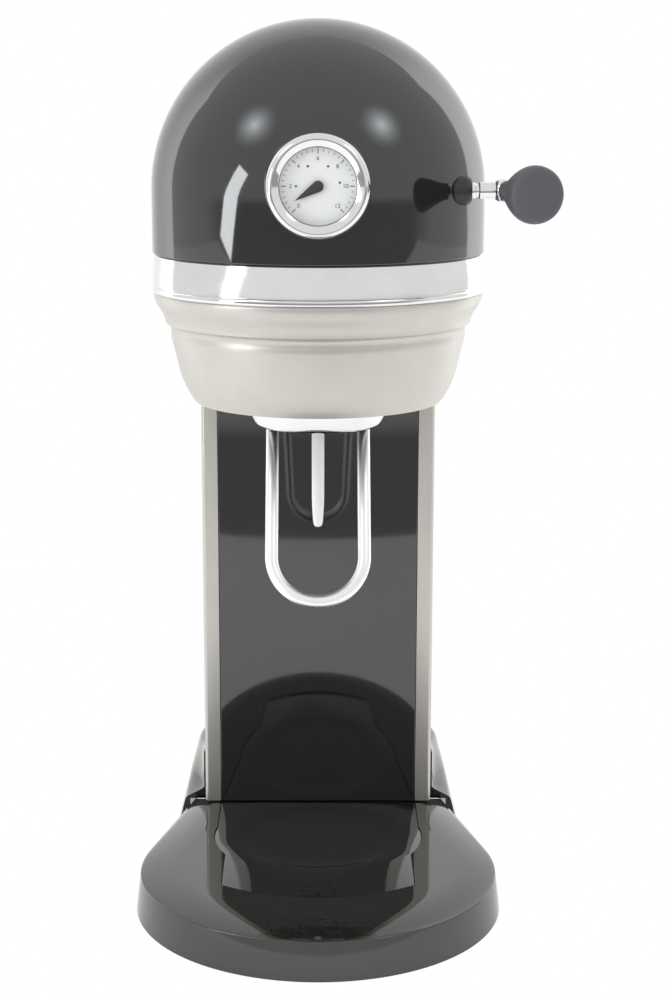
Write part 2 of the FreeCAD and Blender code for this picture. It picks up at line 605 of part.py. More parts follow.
def make_gauge():
    at = ("0", "0", "gauge_high")
    # profiles run along the gauge's axis: height is the distance towards the front
    front = lambda plane: f"-({plane})"
    node("gauge_bezel", turned("gauge_bezel", [
        ("bezel_radius - bezel_edge", front("bezel_back")),
        ("bezel_radius", front("bezel_back - bezel_edge")),
        ("bezel_radius", front("bezel_front + 3")),
        ("bezel_radius - 2.4", front("bezel_front + 0.5")),
        ("bezel_lip + 0.6", front("bezel_front")), ("bezel_window", front("lens_front + 0.4")),
        ("bezel_window", front("lens_front + lens_thick")),
        ("can_radius", front("lens_front + lens_thick")), ("can_radius", front("bezel_back"))],
        at, TO_FRONT))
    node("gauge_can", turned("gauge_can", [
        ("0", front("can_back")), ("can_radius - running", front("can_back")),
        ("can_radius - running", front("lens_front + lens_thick + running")),
        ("can_radius - can_wall", front("lens_front + lens_thick + running")),
        ("can_radius - can_wall", front("can_back - can_wall")),
        ("0", front("can_back - can_wall"))], at, TO_FRONT))
    node("gauge_dial", turned("gauge_dial", [
        ("spindle_radius + 0.4", front("dial_front + dial_thick")),
        ("dial_radius", front("dial_front + dial_thick")), ("dial_radius", front("dial_front")),
        ("spindle_radius + 0.4", front("dial_front"))], at, TO_FRONT))
    node("gauge_lens", turned("gauge_lens", [
        ("0", front("lens_front + lens_thick")),
        ("bezel_window - running", front("lens_front + lens_thick")),
        ("bezel_window - running", front("lens_front")), ("0", front("lens_front"))], at, TO_FRONT))
    hub = cylinder("needle_boss", "needle_hub", "needle_thick", ("0", "needle_front", "gauge_high"), TO_Y)
    spindle = cylinder("needle_spindle", "spindle_radius", "dial_front - needle_front + 6",
                       ("0", "needle_front", "gauge_high"), TO_Y)
    blade = document.addObject("Part::Wedge", "needle_blade")
    bind(blade, Xmin="-0.9", Xmax="0.9", X2min="-0.2", X2max="0.2", Ymin="0", Ymax="needle_long",
         Zmin="0", Zmax="needle_thick", Z2min="0", Z2max="needle_thick")
    turn = Rotation(Vector(0, 1, 0), -121).multiply(TO_FRONT)
    place(blade, ("0", "needle_front + needle_thick", "gauge_high"), turn)
    node("gauge_needle", fuse("gauge_needle", [hub, spindle, blade]))


# ---------------------------------------------------------------- bottle carrier

def make_carrier():
    wall = "bowl_wall"
    node("carrier_bowl", turned("carrier_bowl", [
        ("bowl_low_radius - bowl_lip", "bowl_low"), ("bowl_low_radius - seam", "bowl_low", "bowl_roll", -1),
        ("bowl_low_radius + bowl_spread", "bowl_low + bowl_rise"),
        ("bowl_high_radius", "bowl_high"),
        (f"bowl_high_radius - {wall}", "bowl_high"),
        (f"bowl_low_radius + bowl_spread - {wall}", "bowl_low + bowl_rise"),
        ("bowl_low_radius - bowl_lip", f"bowl_low + {wall}")]))
    body = cylinder("core_barrel", "core_radius", "core_high - core_low", ("0", "0", "core_low"))
    flange = cylinder("core_flange_ring", "bowl_high_radius", "core_flange", ("0", "0", "bowl_high"))
    axle = cylinder("core_axle", "trunnion_radius", "2 * (arm_in + arm_thick)",
                    ("-(arm_in + arm_thick)", "0", "pivot_high"), TO_X)
    lugs, holes = [], []
    for side, low in (("left", "-(loop_half + loop_wire + seam + lug_thick)"),
                      ("right", "loop_half + loop_wire + seam")):
        at = (low, "loop_y", "loop_high")
        lugs.append(cylinder(f"lug_{side}", "lug_radius", "lug_thick", at, TO_X))
        lugs.append(box(f"lug_stem_{side}", (low, "loop_y - lug_radius", "loop_high"),
                        (f"{low} + lug_thick", "loop_y + lug_radius", "core_low + 1")))
        holes.append(cylinder(f"lug_hole_{side}", "loop_pin + running", "lug_thick + 2",
                              (f"{low} - 1", "loop_y", "loop_high"), TO_X))
    socket = cylinder("core_socket", "socket_radius", "socket_deep + 1", ("0", "0", "core_low - 1"))
    bore = cylinder("core_bore", "nozzle_radius + running", "40", ("0", "0", "core_low"))
    node("carrier_core", cut("carrier_core", fuse("core_blank", [body, flange, axle] + lugs),
                             [socket, bore] + holes))
    node("bottle_seal", turned("bottle_seal", [
        ("seal_hole", "core_low + socket_deep - seal_thick"),
        ("socket_radius - running", "core_low + socket_deep - seal_thick"),
        ("socket_radius - running", "core_low + socket_deep"), ("seal_hole", "core_low + socket_deep")]))
    node("nozzle", turned("nozzle", [
        ("0", "nozzle_tip"), ("nozzle_radius - 1.4", "nozzle_tip", "1.6", -1),
        ("nozzle_radius - 0.6", "nozzle_tip + 2"), ("nozzle_radius", "nozzle_tip + 9"),
        ("nozzle_radius", "core_high"), ("nozzle_radius + 2", "core_high"),
        ("nozzle_radius + 2", "nozzle_top"), ("0", "nozzle_top")]))
    arms, bores = [], []
    for side, low in (("left", "-(arm_in + arm_thick)"), ("right", "arm_in")):
        arms.append(box(f"arm_{side}", (low, "-arm_half", "pivot_high - arm_half"),
                        (f"{low} + arm_thick", "arm_half", "chassis_low")))
        bores.append(cylinder(f"arm_bore_{side}", "trunnion_radius + running", "arm_thick + 2",
                              (f"{low} - 1", "0", "pivot_high"), TO_X))
    # the gas port on the right arm stands clear of the trunnion
    port = cylinder("arm_port", "tube_radius + port_wall", "port_long",
                    ("arm_in + arm_thick", "0", "pivot_high + port_lift"), TO_X)
    node("carrier_bracket", cut("carrier_bracket", fuse("bracket_blank", arms + [port]), bores))


def make_loop():
    """The wire loop: two stubs that pivot in the carrier's lugs, two legs and a half turn."""
    lean = Rotation(Vector(1, 0, 0), -number("loop_lean"))
    pieces = []
    for side, sign in (("left", -1), ("right", 1)):
        x = f"{sign} * loop_half"
        leg = cylinder(f"loop_leg_{side}", "loop_wire", "loop_leg", (x, "loop_y", "loop_high"),
                       lean.multiply(Rotation(Vector(1, 0, 0), 180)))
        shoulder = ball(f"loop_shoulder_{side}", "loop_wire", (x, "loop_y", "loop_high"))
        start = "loop_half" if sign > 0 else "-(loop_half + loop_wire + seam + lug_thick)"
        stub = cylinder(f"loop_stub_{side}", "loop_pin", "loop_wire + seam + lug_thick",
                        (start, "loop_y", "loop_high"), TO_X)
        pieces += [leg, shoulder, stub]
    turn = document.addObject("Part::Torus", "loop_turn")
    bind(turn, Radius1="loop_half", Radius2="loop_wire", Angle3="180")
    # the half ring lies in the loop's own plane, open side up
    place(turn, ("0", "loop_y - loop_leg * sin(loop_lean * 1 deg)",
                 "loop_high - loop_leg * cos(loop_lean * 1 deg)"),
          lean.multiply(Rotation(Vector(1, 0, 0), -90)))
    node("wire_loop", fuse("wire_loop", pieces + [turn]))


# ---------------------------------------------------------------- lever train

def make_lever():
    at = ("shaft_in", "lever_y", "lever_high")
    node("lever_shaft", fuse("lever_shaft", [
        cylinder("shaft_rod", "shaft_radius", "shaft_out - shaft_in", at, TO_X),
        ball("shaft_elbow", "elbow_radius", ("elbow_x", "lever_y", "lever_high"))]))
    splay = Rotation(Vector(0, 0, 1), number("knob_splay")).multiply(TO_FRONT)
    node("lever_knob", turned("lever_knob", [
        ("0", "elbow_radius + 0.2"), ("4.6", "elbow_radius + 0.2"),
        ("5.6", "knob_long * 0.3", "40", 1), ("knob_radius - 3.2", "knob_long * 0.62", "24", -1),
        ("knob_radius", "knob_long - 3", "3", -1), ("knob_radius - 2.4", "knob_long"),
        ("0", "knob_long - knob_dish")],
        ("elbow_x", "lever_y", "lever_high"), splay))
    node("lever_bush", turned("lever_bush", [
        ("bush_bore", "bush_in"), ("bush_radius", "bush_in"), ("bush_radius", "bush_out - bush_edge"),
        ("bush_radius - bush_edge", "bush_out"), ("bush_bore", "bush_out")],
        ("0", "lever_y", "lever_high"), TO_X))

    floor = "(chassis_low + chassis_thick)"
    front, back = "lever_y - frame_half", "lever_y + frame_half"
    pieces = [box("frame_floor", ("-(frame_in + frame_wall)", front, floor),
                  ("frame_in + frame_wall", back, f"{floor} + frame_wall"))]
    bores = []
    for side, low in (("left", "-(frame_in + frame_wall)"), ("right", "frame_in")):
        pieces.append(box(f"frame_{side}", (low, front, floor),
                          (f"{low} + frame_wall", back, "frame_high")))
        bores.append(cylinder(f"frame_bore_{side}", "shaft_radius + running", "frame_wall + 2",
                              (f"{low} - 1", "lever_y", "lever_high"), TO_X))
    bores.append(cylinder("frame_relief", "12", "20", ("0", "0", floor)))
    node("lever_frame", cut("lever_frame", fuse("frame_blank", pieces), bores))

    pin_high = "(lever_high + crank_reach)"
    hub = cylinder("crank_hub_disc", "crank_hub", "2 * crank_half",
                   ("-crank_half", "lever_y", "lever_high"), TO_X)
    tip = cylinder("crank_tip", "pin_radius + boss_wall", "2 * crank_half",
                   ("-crank_half", "lever_y", pin_high), TO_X)
    pin = cylinder("crank_pin", "pin_radius", "pin_end", ("0", "lever_y", pin_high), TO_X)
    bore = cylinder("crank_bore", "shaft_radius + 0.02", "2 * crank_half + 2",
                    ("-crank_half - 1", "lever_y", "lever_high"), TO_X)
    node("lever_crank", cut("lever_crank", fuse("crank_blank", [hub, tip, pin]), [bore]))

    coils = 5
    length = f"{coils} * 2 * spring_wire"
    sleeve = cylinder("spring_sleeve", "spring_radius", length,
                      ("spring_start", "lever_y", "lever_high"), TO_X)
    hole = cylinder("spring_hole", "spring_radius - spring_wire", "30",
                    ("spring_start - 1", "lever_y", "lever_high"), TO_X)
    rings = []
    for index in range(coils):
        ring = document.addObject("Part::Torus", f"spring_coil_{index}")
        bind(ring, Radius1="spring_radius", Radius2="spring_wire")
        rings.append(place(ring, (f"spring_start + ({index} * 2 + 1) * spring_wire", "lever_y",
                                  "lever_high"), TO_X))
    node("lever_spring", cut("lever_spring", fuse("spring_blank", [sleeve] + rings), [hole]))


def make_rod():
    """The pull rod: an eye over the crank's pin, a rod in its guide, an eye over the rocker's."""
    high = "(lever_high + crank_reach)"
    eyes, slots = [], []
    for key, y in (("front", "lever_y"), ("rear", "rocker_y")):
        low_x, wide = "rod_x - eye_half", "2 * eye_half"
        eyes.append(cylinder(f"eye_{key}", "eye_radius", wide, (low_x, y, high), TO_X))
        slots.append(box(f"eye_slot_{key}",
                         (f"{low_x} - 1", f"{y} - eye_slot", f"{high} - eye_radius + eye_rim"),
                         ("rod_x + eye_half + 1", f"{y} + eye_slot", f"{high} + eye_top")))
    bar = cylinder("rod_bar", "rod_radius", "rocker_y - lever_y - 2 * eye_radius + 2",
                   ("rod_x", "lever_y + eye_radius - 1", high), TO_Y)
    node("pull_rod", cut("pull_rod", fuse("rod_blank", eyes + [bar]), slots))
    floor = "(chassis_low + chassis_thick)"
    post = box("guide_post", ("rod_x - 6", "guide_y - guide_half", floor),
               ("rod_x + 6", "guide_y + guide_half", f"{high} + 6"))
    bore = cylinder("guide_bore", "rod_radius + running", "2 * guide_half + 2",
                    ("rod_x", "guide_y - guide_half - 1", high), TO_Y)
    node("rod_guide", cut("rod_guide", post, [bore]))


def make_valve():
    floor = "(chassis_low + chassis_thick)"
    top = "(bridge_low + bridge_thick)"
    deck = box("bridge_deck", ("-bridge_half", "bottle_y - bridge_deep", "bridge_low"),
               ("bridge_half", "bottle_y + bridge_deep", top))
    legs = [box("bridge_leg_left", ("-bridge_half", "bottle_y - bridge_deep", floor),
                ("-bridge_half + 4", "bottle_y + bridge_deep", top)),
            box("bridge_leg_right", ("bridge_half - 4", "bottle_y - bridge_deep", floor),
                ("bridge_half", "bottle_y + bridge_deep", top))]
    hole = cylinder("bridge_hole", "valve_radius + 1", "20", ("0", "bottle_y", "bridge_low - 5"))
    node("valve_bridge", cut("valve_bridge", fuse("bridge_blank", [deck] + legs), [hole]))

    pivot_high = "(lever_high + crank_reach + rocker_reach)"
    block = box("block_solid", ("-block_half", "block_front", top),
                ("block_half", "block_end", "block_high"))
    ears = [box(f"ear_{side}", (low, "rocker_y - ear_half", "block_high - 4"),
                (f"{low} + ear_thick", "block_front + 6", f"{pivot_high} + 5"))
            for side, low in (("left", "-(ear_in + ear_thick)"), ("right", "ear_in"))]
    tools = [cylinder("block_socket", "valve_radius + running", "valve_high - bridge_low",
                      ("0", "bottle_y", "bridge_low + 1")),
             cylinder("block_plunger", "plunger_radius + running", "60", ("0", "bottle_y", top)),
             cylinder("block_pin", "pin_radius + running", "2 * (ear_in + ear_thick) + 2",
                      ("-(ear_in + ear_thick + 1)", "rocker_y", pivot_high), TO_X)]
    node("valve_block", cut("valve_block", fuse("block_blank", [block] + ears), tools))
    node("rocker_pin", cylinder("rocker_pin", "pin_radius", "2 * (ear_in + ear_thick)",
                                ("-(ear_in + ear_thick)", "rocker_y", pivot_high), TO_X))
    nose_y = "bottle_y"
    node("valve_plunger", cylinder("valve_plunger", "plunger_radius",
                                   f"{pivot_high} - nose_radius - nose_gap - plunger_low",
                                   ("0", nose_y, "plunger_low")))
    half = "crank_half"
    hub = cylinder("rocker_hub", "pin_radius + boss_wall", "2 * (ear_in - seam)",
                   ("-ear_in + seam", "rocker_y", pivot_high), TO_X)
    arm = box("rocker_arm", (f"-{half}", "rocker_y", f"{pivot_high} - 2.5"),
              (half, nose_y, f"{pivot_high} + 2.5"))
    nose = cylinder("rocker_nose", "nose_radius", f"2 * {half}", (f"-{half}", nose_y, pivot_high), TO_X)
    leg = box("rocker_leg", (f"-{half}", "rocker_y - 2.5", f"{pivot_high} - rocker_reach"),
              (half, "rocker_y + 2.5", pivot_high))
    foot = cylinder("rocker_foot", "pin_radius + boss_wall - seam * 2", f"2 * {half}",
                    (f"-{half}", "rocker_y", f"{pivot_high} - rocker_reach"), TO_X)
    pin = cylinder("rocker_foot_pin", "pin_radius", "pin_end",
                   ("0", "rocker_y", f"{pivot_high} - rocker_reach"), TO_X)
    bore = cylinder("rocker_bore", "pin_radius + running", "40", ("-20", "rocker_y", pivot_high), TO_X)
    node("rocker", cut("rocker", fuse("rocker_blank", [hub, arm, nose, leg, foot, pin]), [bore]))
    node("relief_valve", fuse("relief_valve", [
        cylinder("relief_body", "relief_radius", "relief_long", ("0", "block_end", "port_high"), TO_Y),
        cylinder("relief_cap", "relief_radius - relief_step", "2 * relief_step",
                 ("0", "block_end + relief_long", "port_high"), TO_Y)]))


def make_tubes():
    """The gas tube to the carrier and the gauge's fine tube, each held at both ends."""
    block, y, high = number("block_half"), number("bottle_y"), number("port_high")
    arm = number("arm_in + arm_thick + port_long")
    port = number("pivot_high + port_lift")
    floor = number("chassis_low + chassis_thick")
    gas = [(block, y, high), (block + 14, y, high), (50, y - 22, high - 12),
           (54, y - 50, high - 34), (54, 10, floor + 16), (54, 4, port + 8), (arm + 6, 0, port),
           (arm, 0, port)]
    node("gas_tube", tube("gas_tube", gas, number("tube_radius")))
    gauge = number("gauge_high")
    back = number("can_back")
    fine = [(-10, back, gauge + 8), (-10, back + 14, gauge + 8), (-12, back + 50, gauge + 19),
            (-22, y - 26, gauge + 18), (-30, y - 4, gauge + 8), (-block - 8, y, high),
            (-block, y, high)]
    node("gauge_tube", tube("gauge_tube", fine, number("tube_radius") * 0.6))


make_base()
make_shoe()
make_underside()
make_column()
make_cylinder()
make_collar()
make_head()
make_gauge()
make_carrier()
make_loop()
make_lever()
make_rod()
make_valve()
make_tubes()
document.recompute()

# ---------------------------------------------------------------- checks and files

faults = [f"{item.Name}: {item.State}" for item in document.Objects
          if {"Invalid", "Error"} & set(item.State)]
faults += [f"{name}: bad shape" for name, piece in nodes.items()
           if piece.Shape.isNull() or not piece.Shape.isValid() or not piece.Shape.Solids]
if faults:
    raise RuntimeError("; ".join(faults))
os.makedirs("parts", exist_ok=True)
for name, piece in nodes.items():
    piece.Shape.exportStep(f"parts/{name}.step")
    print(name, len(piece.Shape.Solids), round(piece.Shape.Volume), piece.Shape.BoundBox)
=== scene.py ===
"""The looks of a countertop soda carbonator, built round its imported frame.

Sections are drawn in millimetres in the frame's own axes: +X right, +Y back, +Z up,
with the origin on the table under the bottle's axis.
"""

import math

import bmesh
import bpy
from mathutils import Matrix, Vector


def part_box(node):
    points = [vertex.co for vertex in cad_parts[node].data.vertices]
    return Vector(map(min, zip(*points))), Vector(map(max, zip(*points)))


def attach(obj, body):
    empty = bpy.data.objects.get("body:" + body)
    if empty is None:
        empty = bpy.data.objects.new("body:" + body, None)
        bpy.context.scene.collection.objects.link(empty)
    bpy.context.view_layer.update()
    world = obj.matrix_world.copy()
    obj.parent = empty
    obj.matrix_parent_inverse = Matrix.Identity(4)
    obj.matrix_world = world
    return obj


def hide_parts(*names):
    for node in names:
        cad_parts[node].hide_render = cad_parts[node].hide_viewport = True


bl_info = {
    "name": "Soda carbonator",
    "version": (1, 0, 0),
    "blender": (4, 5, 0),
    "location": "3D View > Sidebar > Carbonator",
    "description": "Builds the surfaces, finishes and stage of a countertop soda carbonator",
    "category": "Object",
}

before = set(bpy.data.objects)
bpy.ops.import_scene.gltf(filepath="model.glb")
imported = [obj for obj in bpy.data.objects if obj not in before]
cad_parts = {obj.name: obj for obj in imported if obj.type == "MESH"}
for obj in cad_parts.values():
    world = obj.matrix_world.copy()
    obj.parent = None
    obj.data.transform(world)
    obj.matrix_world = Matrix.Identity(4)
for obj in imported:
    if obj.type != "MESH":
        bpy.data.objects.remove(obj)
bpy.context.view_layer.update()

MM = 0.001
AXIS_Y = (0, 1, 0)
AXIS_Z = (0, 0, 1)
ROUND_STEPS = 128
CORNER_SEGMENTS = 5
ARC_STEP = 2.5
TO_FRONT = Matrix.Rotation(math.radians(90), 4, "X")
TO_RIGHT = Matrix.Rotation(math.radians(90), 4, "Y")


def low(node):
    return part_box(node)[0] / MM


def high(node):
    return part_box(node)[1] / MM


# ---------------------------------------------------------------- settings

def length(name, description, default):
    """A length property whose default is given in millimetres."""
    return bpy.props.FloatProperty(name=name, description=description, default=default * MM,
                                   min=0.0, precision=5, unit="LENGTH", subtype="DISTANCE")


def colour(name, description, default):
    return bpy.props.FloatVectorProperty(name=name, description=description, default=default,
                                         size=3, min=0.0, max=1.0, subtype="COLOR")


class CarbonatorSizes(bpy.types.PropertyGroup):
    """The sizes a user would change. Defaults come from the frame."""
    dome_radius: length("Dome radius", "Radius of the head's round front", high("dome_shell").x)
    dome_wall: length("Dome wall", "Thickness of the dome's shell", 2.5)
    band_radius: length("Band radius", "Outer radius of the bright band", high("chrome_band").x)
    lip_radius: length("Collar lip", "Radius of the collar's top edge", high("collar").x)
    base_radius: length("Base radius", "Radius of the base's round front",
                        -low("base_shell").y - 32.4)
    rim_height: length("Rim height", "Height of the base's hard edge", 18.8)
    dish_radius: length("Dish radius", "Radius of the dish in the tray", 42)
    dish_depth: length("Dish depth", "Depth of the dish in the tray", 1.2)
    edge_round: length("Edge rounding", "Rounding along the column's edges", 0.45)
    bezel_radius: length("Bezel radius", "Outer radius of the gauge's rim",
                         high("gauge_bezel").x)
    grip_radius: length("Grip radius", "Radius of the lever's round grip", 12.5)
    wire_radius: length("Wire radius", "Radius of the bottle loop's wire", 3)


class CarbonatorColours(bpy.types.PropertyGroup):
    """The colours a user would change."""
    enamel: colour("Enamel", "Black enamel of the dome, base and shoe", (0.0105, 0.011, 0.0098))
    gloss_plastic: colour("Gloss plastic", "Panel behind the bottle, and tray",
                          (0.0085, 0.0095, 0.0095))
    silver: colour("Satin silver", "Sprayed silver of the collar and stiles", (0.53, 0.515, 0.485))
    chrome: colour("Chrome", "Bright plated metal", (0.72, 0.72, 0.735))
    grip: colour("Grip", "Soft grey of the lever's grip", (0.085, 0.088, 0.1))
    white: colour("White", "Nozzle and gauge face", (0.86, 0.87, 0.86))
    cylinder: colour("Cylinder", "Paint of the gas cylinder", (0.30, 0.34, 0.38))


def mm(name):
    return getattr(bpy.context.scene.carbonator_sizes, name) / MM


def tint(name):
    return tuple(getattr(bpy.context.scene.carbonator_colours, name)) + (1.0,)


# ---------------------------------------------------------------- mesh helpers

def draw(bm, moves, upright=True, closed=True):
    """A bare outline, upright in XZ or flat in XY.

    A move is a corner (across, along[, rounding]) or ("arc", across, along, degrees), which
    turns the last corner round that centre.
    """
    spot = (lambda a, b: (a, 0, b)) if upright else (lambda a, b: (a, b, 0))
    axis = AXIS_Y if upright else AXIS_Z
    first = last = bm.verts.new(spot(*moves[0][:2]))
    rounded = [(first, moves[0][2])] if len(moves[0]) > 2 else []
    for move in moves[1:]:
        if move[0] == "arc":
            _, across, along, degrees = move
            steps = max(3, round(abs(degrees) / ARC_STEP))
            made = bmesh.ops.spin(bm, geom=[last], cent=spot(across, along), axis=axis,
                                  angle=math.radians(degrees), steps=steps)["geom_last"]
            last = next(item for item in made if isinstance(item, bmesh.types.BMVert))
            continue
        corner = bm.verts.new(spot(*move[:2]))
        bm.edges.new((last, corner))
        last = corner
        if len(move) > 2:
            rounded.append((corner, move[2]))
    if closed:
        bm.edges.new((last, first))
    for corner, size in rounded:
        bmesh.ops.bevel(bm, geom=[corner], offset=size, offset_type="OFFSET",
                        affect="VERTICES", segments=CORNER_SEGMENTS, profile=0.5, material=-1)


def turn(bm, steps=ROUND_STEPS):
    """Turns the section in bm once round the Z axis."""
    bmesh.ops.spin(bm, geom=bm.verts[:] + bm.edges[:], cent=(0, 0, 0), axis=AXIS_Z,
                   angle=math.tau, steps=steps, use_merge=True)
    close(bm)


def turn_long(bm, straight):
    """Turns the section round the front, draws it back, turns it round the rear and returns."""
    section = bm.verts[:] + bm.edges[:]
    for centre, shift in ((0, straight), (straight, -straight)):
        spun = bmesh.ops.spin(bm, geom=section, cent=(0, centre, 0), axis=AXIS_Z,
                              angle=-math.pi, steps=ROUND_STEPS // 2)["geom_last"]
        edges = [item for item in spun if isinstance(item, bmesh.types.BMEdge)]
        drawn = bmesh.ops.extrude_edge_only(bm, edges=edges)["geom"]
        verts = [item for item in drawn if isinstance(item, bmesh.types.BMVert)]
        bmesh.ops.translate(bm, verts=verts, vec=(0, shift, 0))
        section = [item for item in drawn if not isinstance(item, bmesh.types.BMFace)]
    close(bm)


def close(bm):
    """Merges seams and poles and turns every normal outward."""
    bmesh.ops.remove_doubles(bm, verts=bm.verts, dist=0.002)
    bmesh.ops.dissolve_degenerate(bm, edges=bm.edges, dist=0.0005)
    bmesh.ops.recalc_face_normals(bm, faces=bm.faces)


def prism(bm, moves, bottom, top):
    """A closed block: a flat outline drawn up from bottom to top."""
    part = bmesh.new()
    draw(part, moves, upright=False)
    face = bmesh.ops.contextual_create(part, geom=part.edges[:])["faces"]
    up = bmesh.ops.extrude_face_region(part, geom=face)["geom"]
    verts = [item for item in up if isinstance(item, bmesh.types.BMVert)]
    bmesh.ops.translate(part, verts=verts, vec=(0, 0, top - bottom))
    bmesh.ops.translate(part, verts=part.verts, vec=(0, 0, bottom))
    bmesh.ops.recalc_face_normals(part, faces=part.faces)
    add_to(bm, part)


def block(bm, lower, upper):
    """A closed box between two corners."""
    lower, upper = Vector(lower), Vector(upper)
    place = Matrix.Translation((lower + upper) / 2) @ Matrix.Diagonal((*(upper - lower), 1))
    bmesh.ops.create_cube(bm, size=1, matrix=place)


def drum(bm, radius, ends, place=Matrix(), steps=96):
    """A closed cylinder on the Z axis between two heights, then placed."""
    part = bmesh.new()
    draw(part, [(0, ends[0]), (radius, ends[0]), (radius, ends[1]), (0, ends[1])], closed=False)
    turn(part, steps)
    bmesh.ops.transform(part, matrix=place, verts=part.verts)
    add_to(bm, part)


def add_to(bm, part):
    """Adds a finished part to bm and frees it."""
    mesh = bpy.data.meshes.new("part")
    part.to_mesh(mesh)
    part.free()
    bm.from_mesh(mesh)
    bpy.data.meshes.remove(mesh)


def soften(bm, size, angle=30, segments=2):
    """Rounds every edge sharper than angle degrees."""
    edges = [edge for edge in bm.edges
             if len(edge.link_faces) == 2 and edge.calc_face_angle(0) > math.radians(angle)]
    bmesh.ops.bevel(bm, geom=edges, offset=size, offset_type="OFFSET", affect="EDGES",
                    segments=segments, profile=0.5, material=-1, clamp_overlap=True)


def from_node(node, edge, segments=2):
    """A merged copy of a frame node in millimetres, its hard edges rounded."""
    bm = bmesh.new()
    bm.from_mesh(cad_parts[node].data)
    bmesh.ops.scale(bm, vec=(1 / MM,) * 3, verts=bm.verts)
    bmesh.ops.remove_doubles(bm, verts=bm.verts, dist=0.005)
    bmesh.ops.dissolve_limit(bm, angle_limit=math.radians(0.2), verts=bm.verts, edges=bm.edges)
    if edge:
        soften(bm, edge, segments=segments)
    return bm


def carve(bm, *tools):
    """Cuts closed shapes out of bm, each whole in itself, and returns the result."""
    items = []
    for part in (bm, *tools):
        mesh = bpy.data.meshes.new("carving")
        part.to_mesh(mesh)
        part.free()
        items.append(bpy.data.objects.new("carving", mesh))
        bpy.context.scene.collection.objects.link(items[-1])
    for tool in items[1:]:
        cut = items[0].modifiers.new("opening", "BOOLEAN")
        cut.operation, cut.solver, cut.object = "DIFFERENCE", "EXACT", tool
    graph = bpy.context.evaluated_depsgraph_get()
    made = bpy.data.meshes.new_from_object(items[0].evaluated_get(graph))
    result = bmesh.new()
    result.from_mesh(made)
    for item in items:
        mesh = item.data
        bpy.data.objects.remove(item)
        bpy.data.meshes.remove(mesh)
    bpy.data.meshes.remove(made)
    bmesh.ops.remove_doubles(result, verts=result.verts, dist=0.0005)
    return result


def turned(moves, steps=ROUND_STEPS, closed=True):
    """A new shape: a section in XZ turned once round the Z axis."""
    bm = bmesh.new()
    draw(bm, moves, closed=closed)
    turn(bm, steps)
    return bm


def stepped(moves, rings, foot):
    """A new closed block on a flat outline, raised ring by ring of (inset, rise)."""
    bm = bmesh.new()
    draw(bm, moves, upright=False)
    face = bmesh.ops.contextual_create(bm, geom=bm.edges[:])["faces"]
    bmesh.ops.recalc_face_normals(bm, faces=face)
    if face[0].normal.z < 0:
        bmesh.ops.reverse_faces(bm, faces=face)
    under = bmesh.ops.duplicate(bm, geom=face)["geom"]
    bmesh.ops.reverse_faces(bm, faces=[item for item in under
                                       if isinstance(item, bmesh.types.BMFace)])
    for inset, rise in rings:
        bmesh.ops.inset_region(bm, faces=face, thickness=inset, depth=rise,
                               use_boundary=True, use_even_offset=True)
    bmesh.ops.translate(bm, verts=bm.verts, vec=(0, 0, foot))
    close(bm)
    return bm


def ease(share):
    """A smooth step from 0 to 1."""
    share = min(1.0, max(0.0, share))
    return share * share * (3 - 2 * share)


def shape(make, *details):
    """A new closed shape from one of the helpers above."""
    bm = bmesh.new()
    make(bm, *details)
    return bm


def finish_piece(bm, name, nodes, body, finish, place=Matrix(), sharp=32):
    """Places the mesh in metres, gives it its finish and lets it stand for frame nodes."""
    bmesh.ops.transform(bm, matrix=Matrix.Scale(MM, 4) @ place, verts=bm.verts)
    mesh = bpy.data.meshes.new(name)
    bm.to_mesh(mesh)
    bm.free()
    mesh.polygons.foreach_set("use_smooth", [True] * len(mesh.polygons))
    mesh.set_sharp_from_angle(angle=math.radians(sharp))
    mesh.materials.append(finish_material(finish))
    piece = bpy.data.objects.new(name, mesh)
    bpy.context.scene.collection.objects.link(piece)
    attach(piece, body)
    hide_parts(*nodes)
    return piece


# ---------------------------------------------------------------- shader groups

def new_group(name, inputs, outputs):
    """A shader node group and its two end nodes. A socket is (name, type, default)."""
    group = bpy.data.node_groups.new(name, "ShaderNodeTree")
    for in_out, sockets in (("INPUT", inputs), ("OUTPUT", outputs)):
        for label, kind, default in sockets:
            socket = group.interface.new_socket(name=label, in_out=in_out,
                                                socket_type="NodeSocket" + kind)
            if default is not None:
                socket.default_value = default
    return group, group.nodes.new("NodeGroupInput"), group.nodes.new("NodeGroupOutput")


def node(tree, kind, values=None, **settings):
    """A new shader node with its settings and the values of its sockets."""
    made = tree.nodes.new("ShaderNode" + kind)
    for key, value in settings.items():
        setattr(made, key, value)
    for key, value in (values or {}).items():
        made.inputs[key].default_value = value
    return made


def wire_up(tree, *links):
    """Each link is (from node, its output, to node, its input)."""
    for source, output, target, entry in links:
        tree.links.new(source.outputs[output], target.inputs[entry])


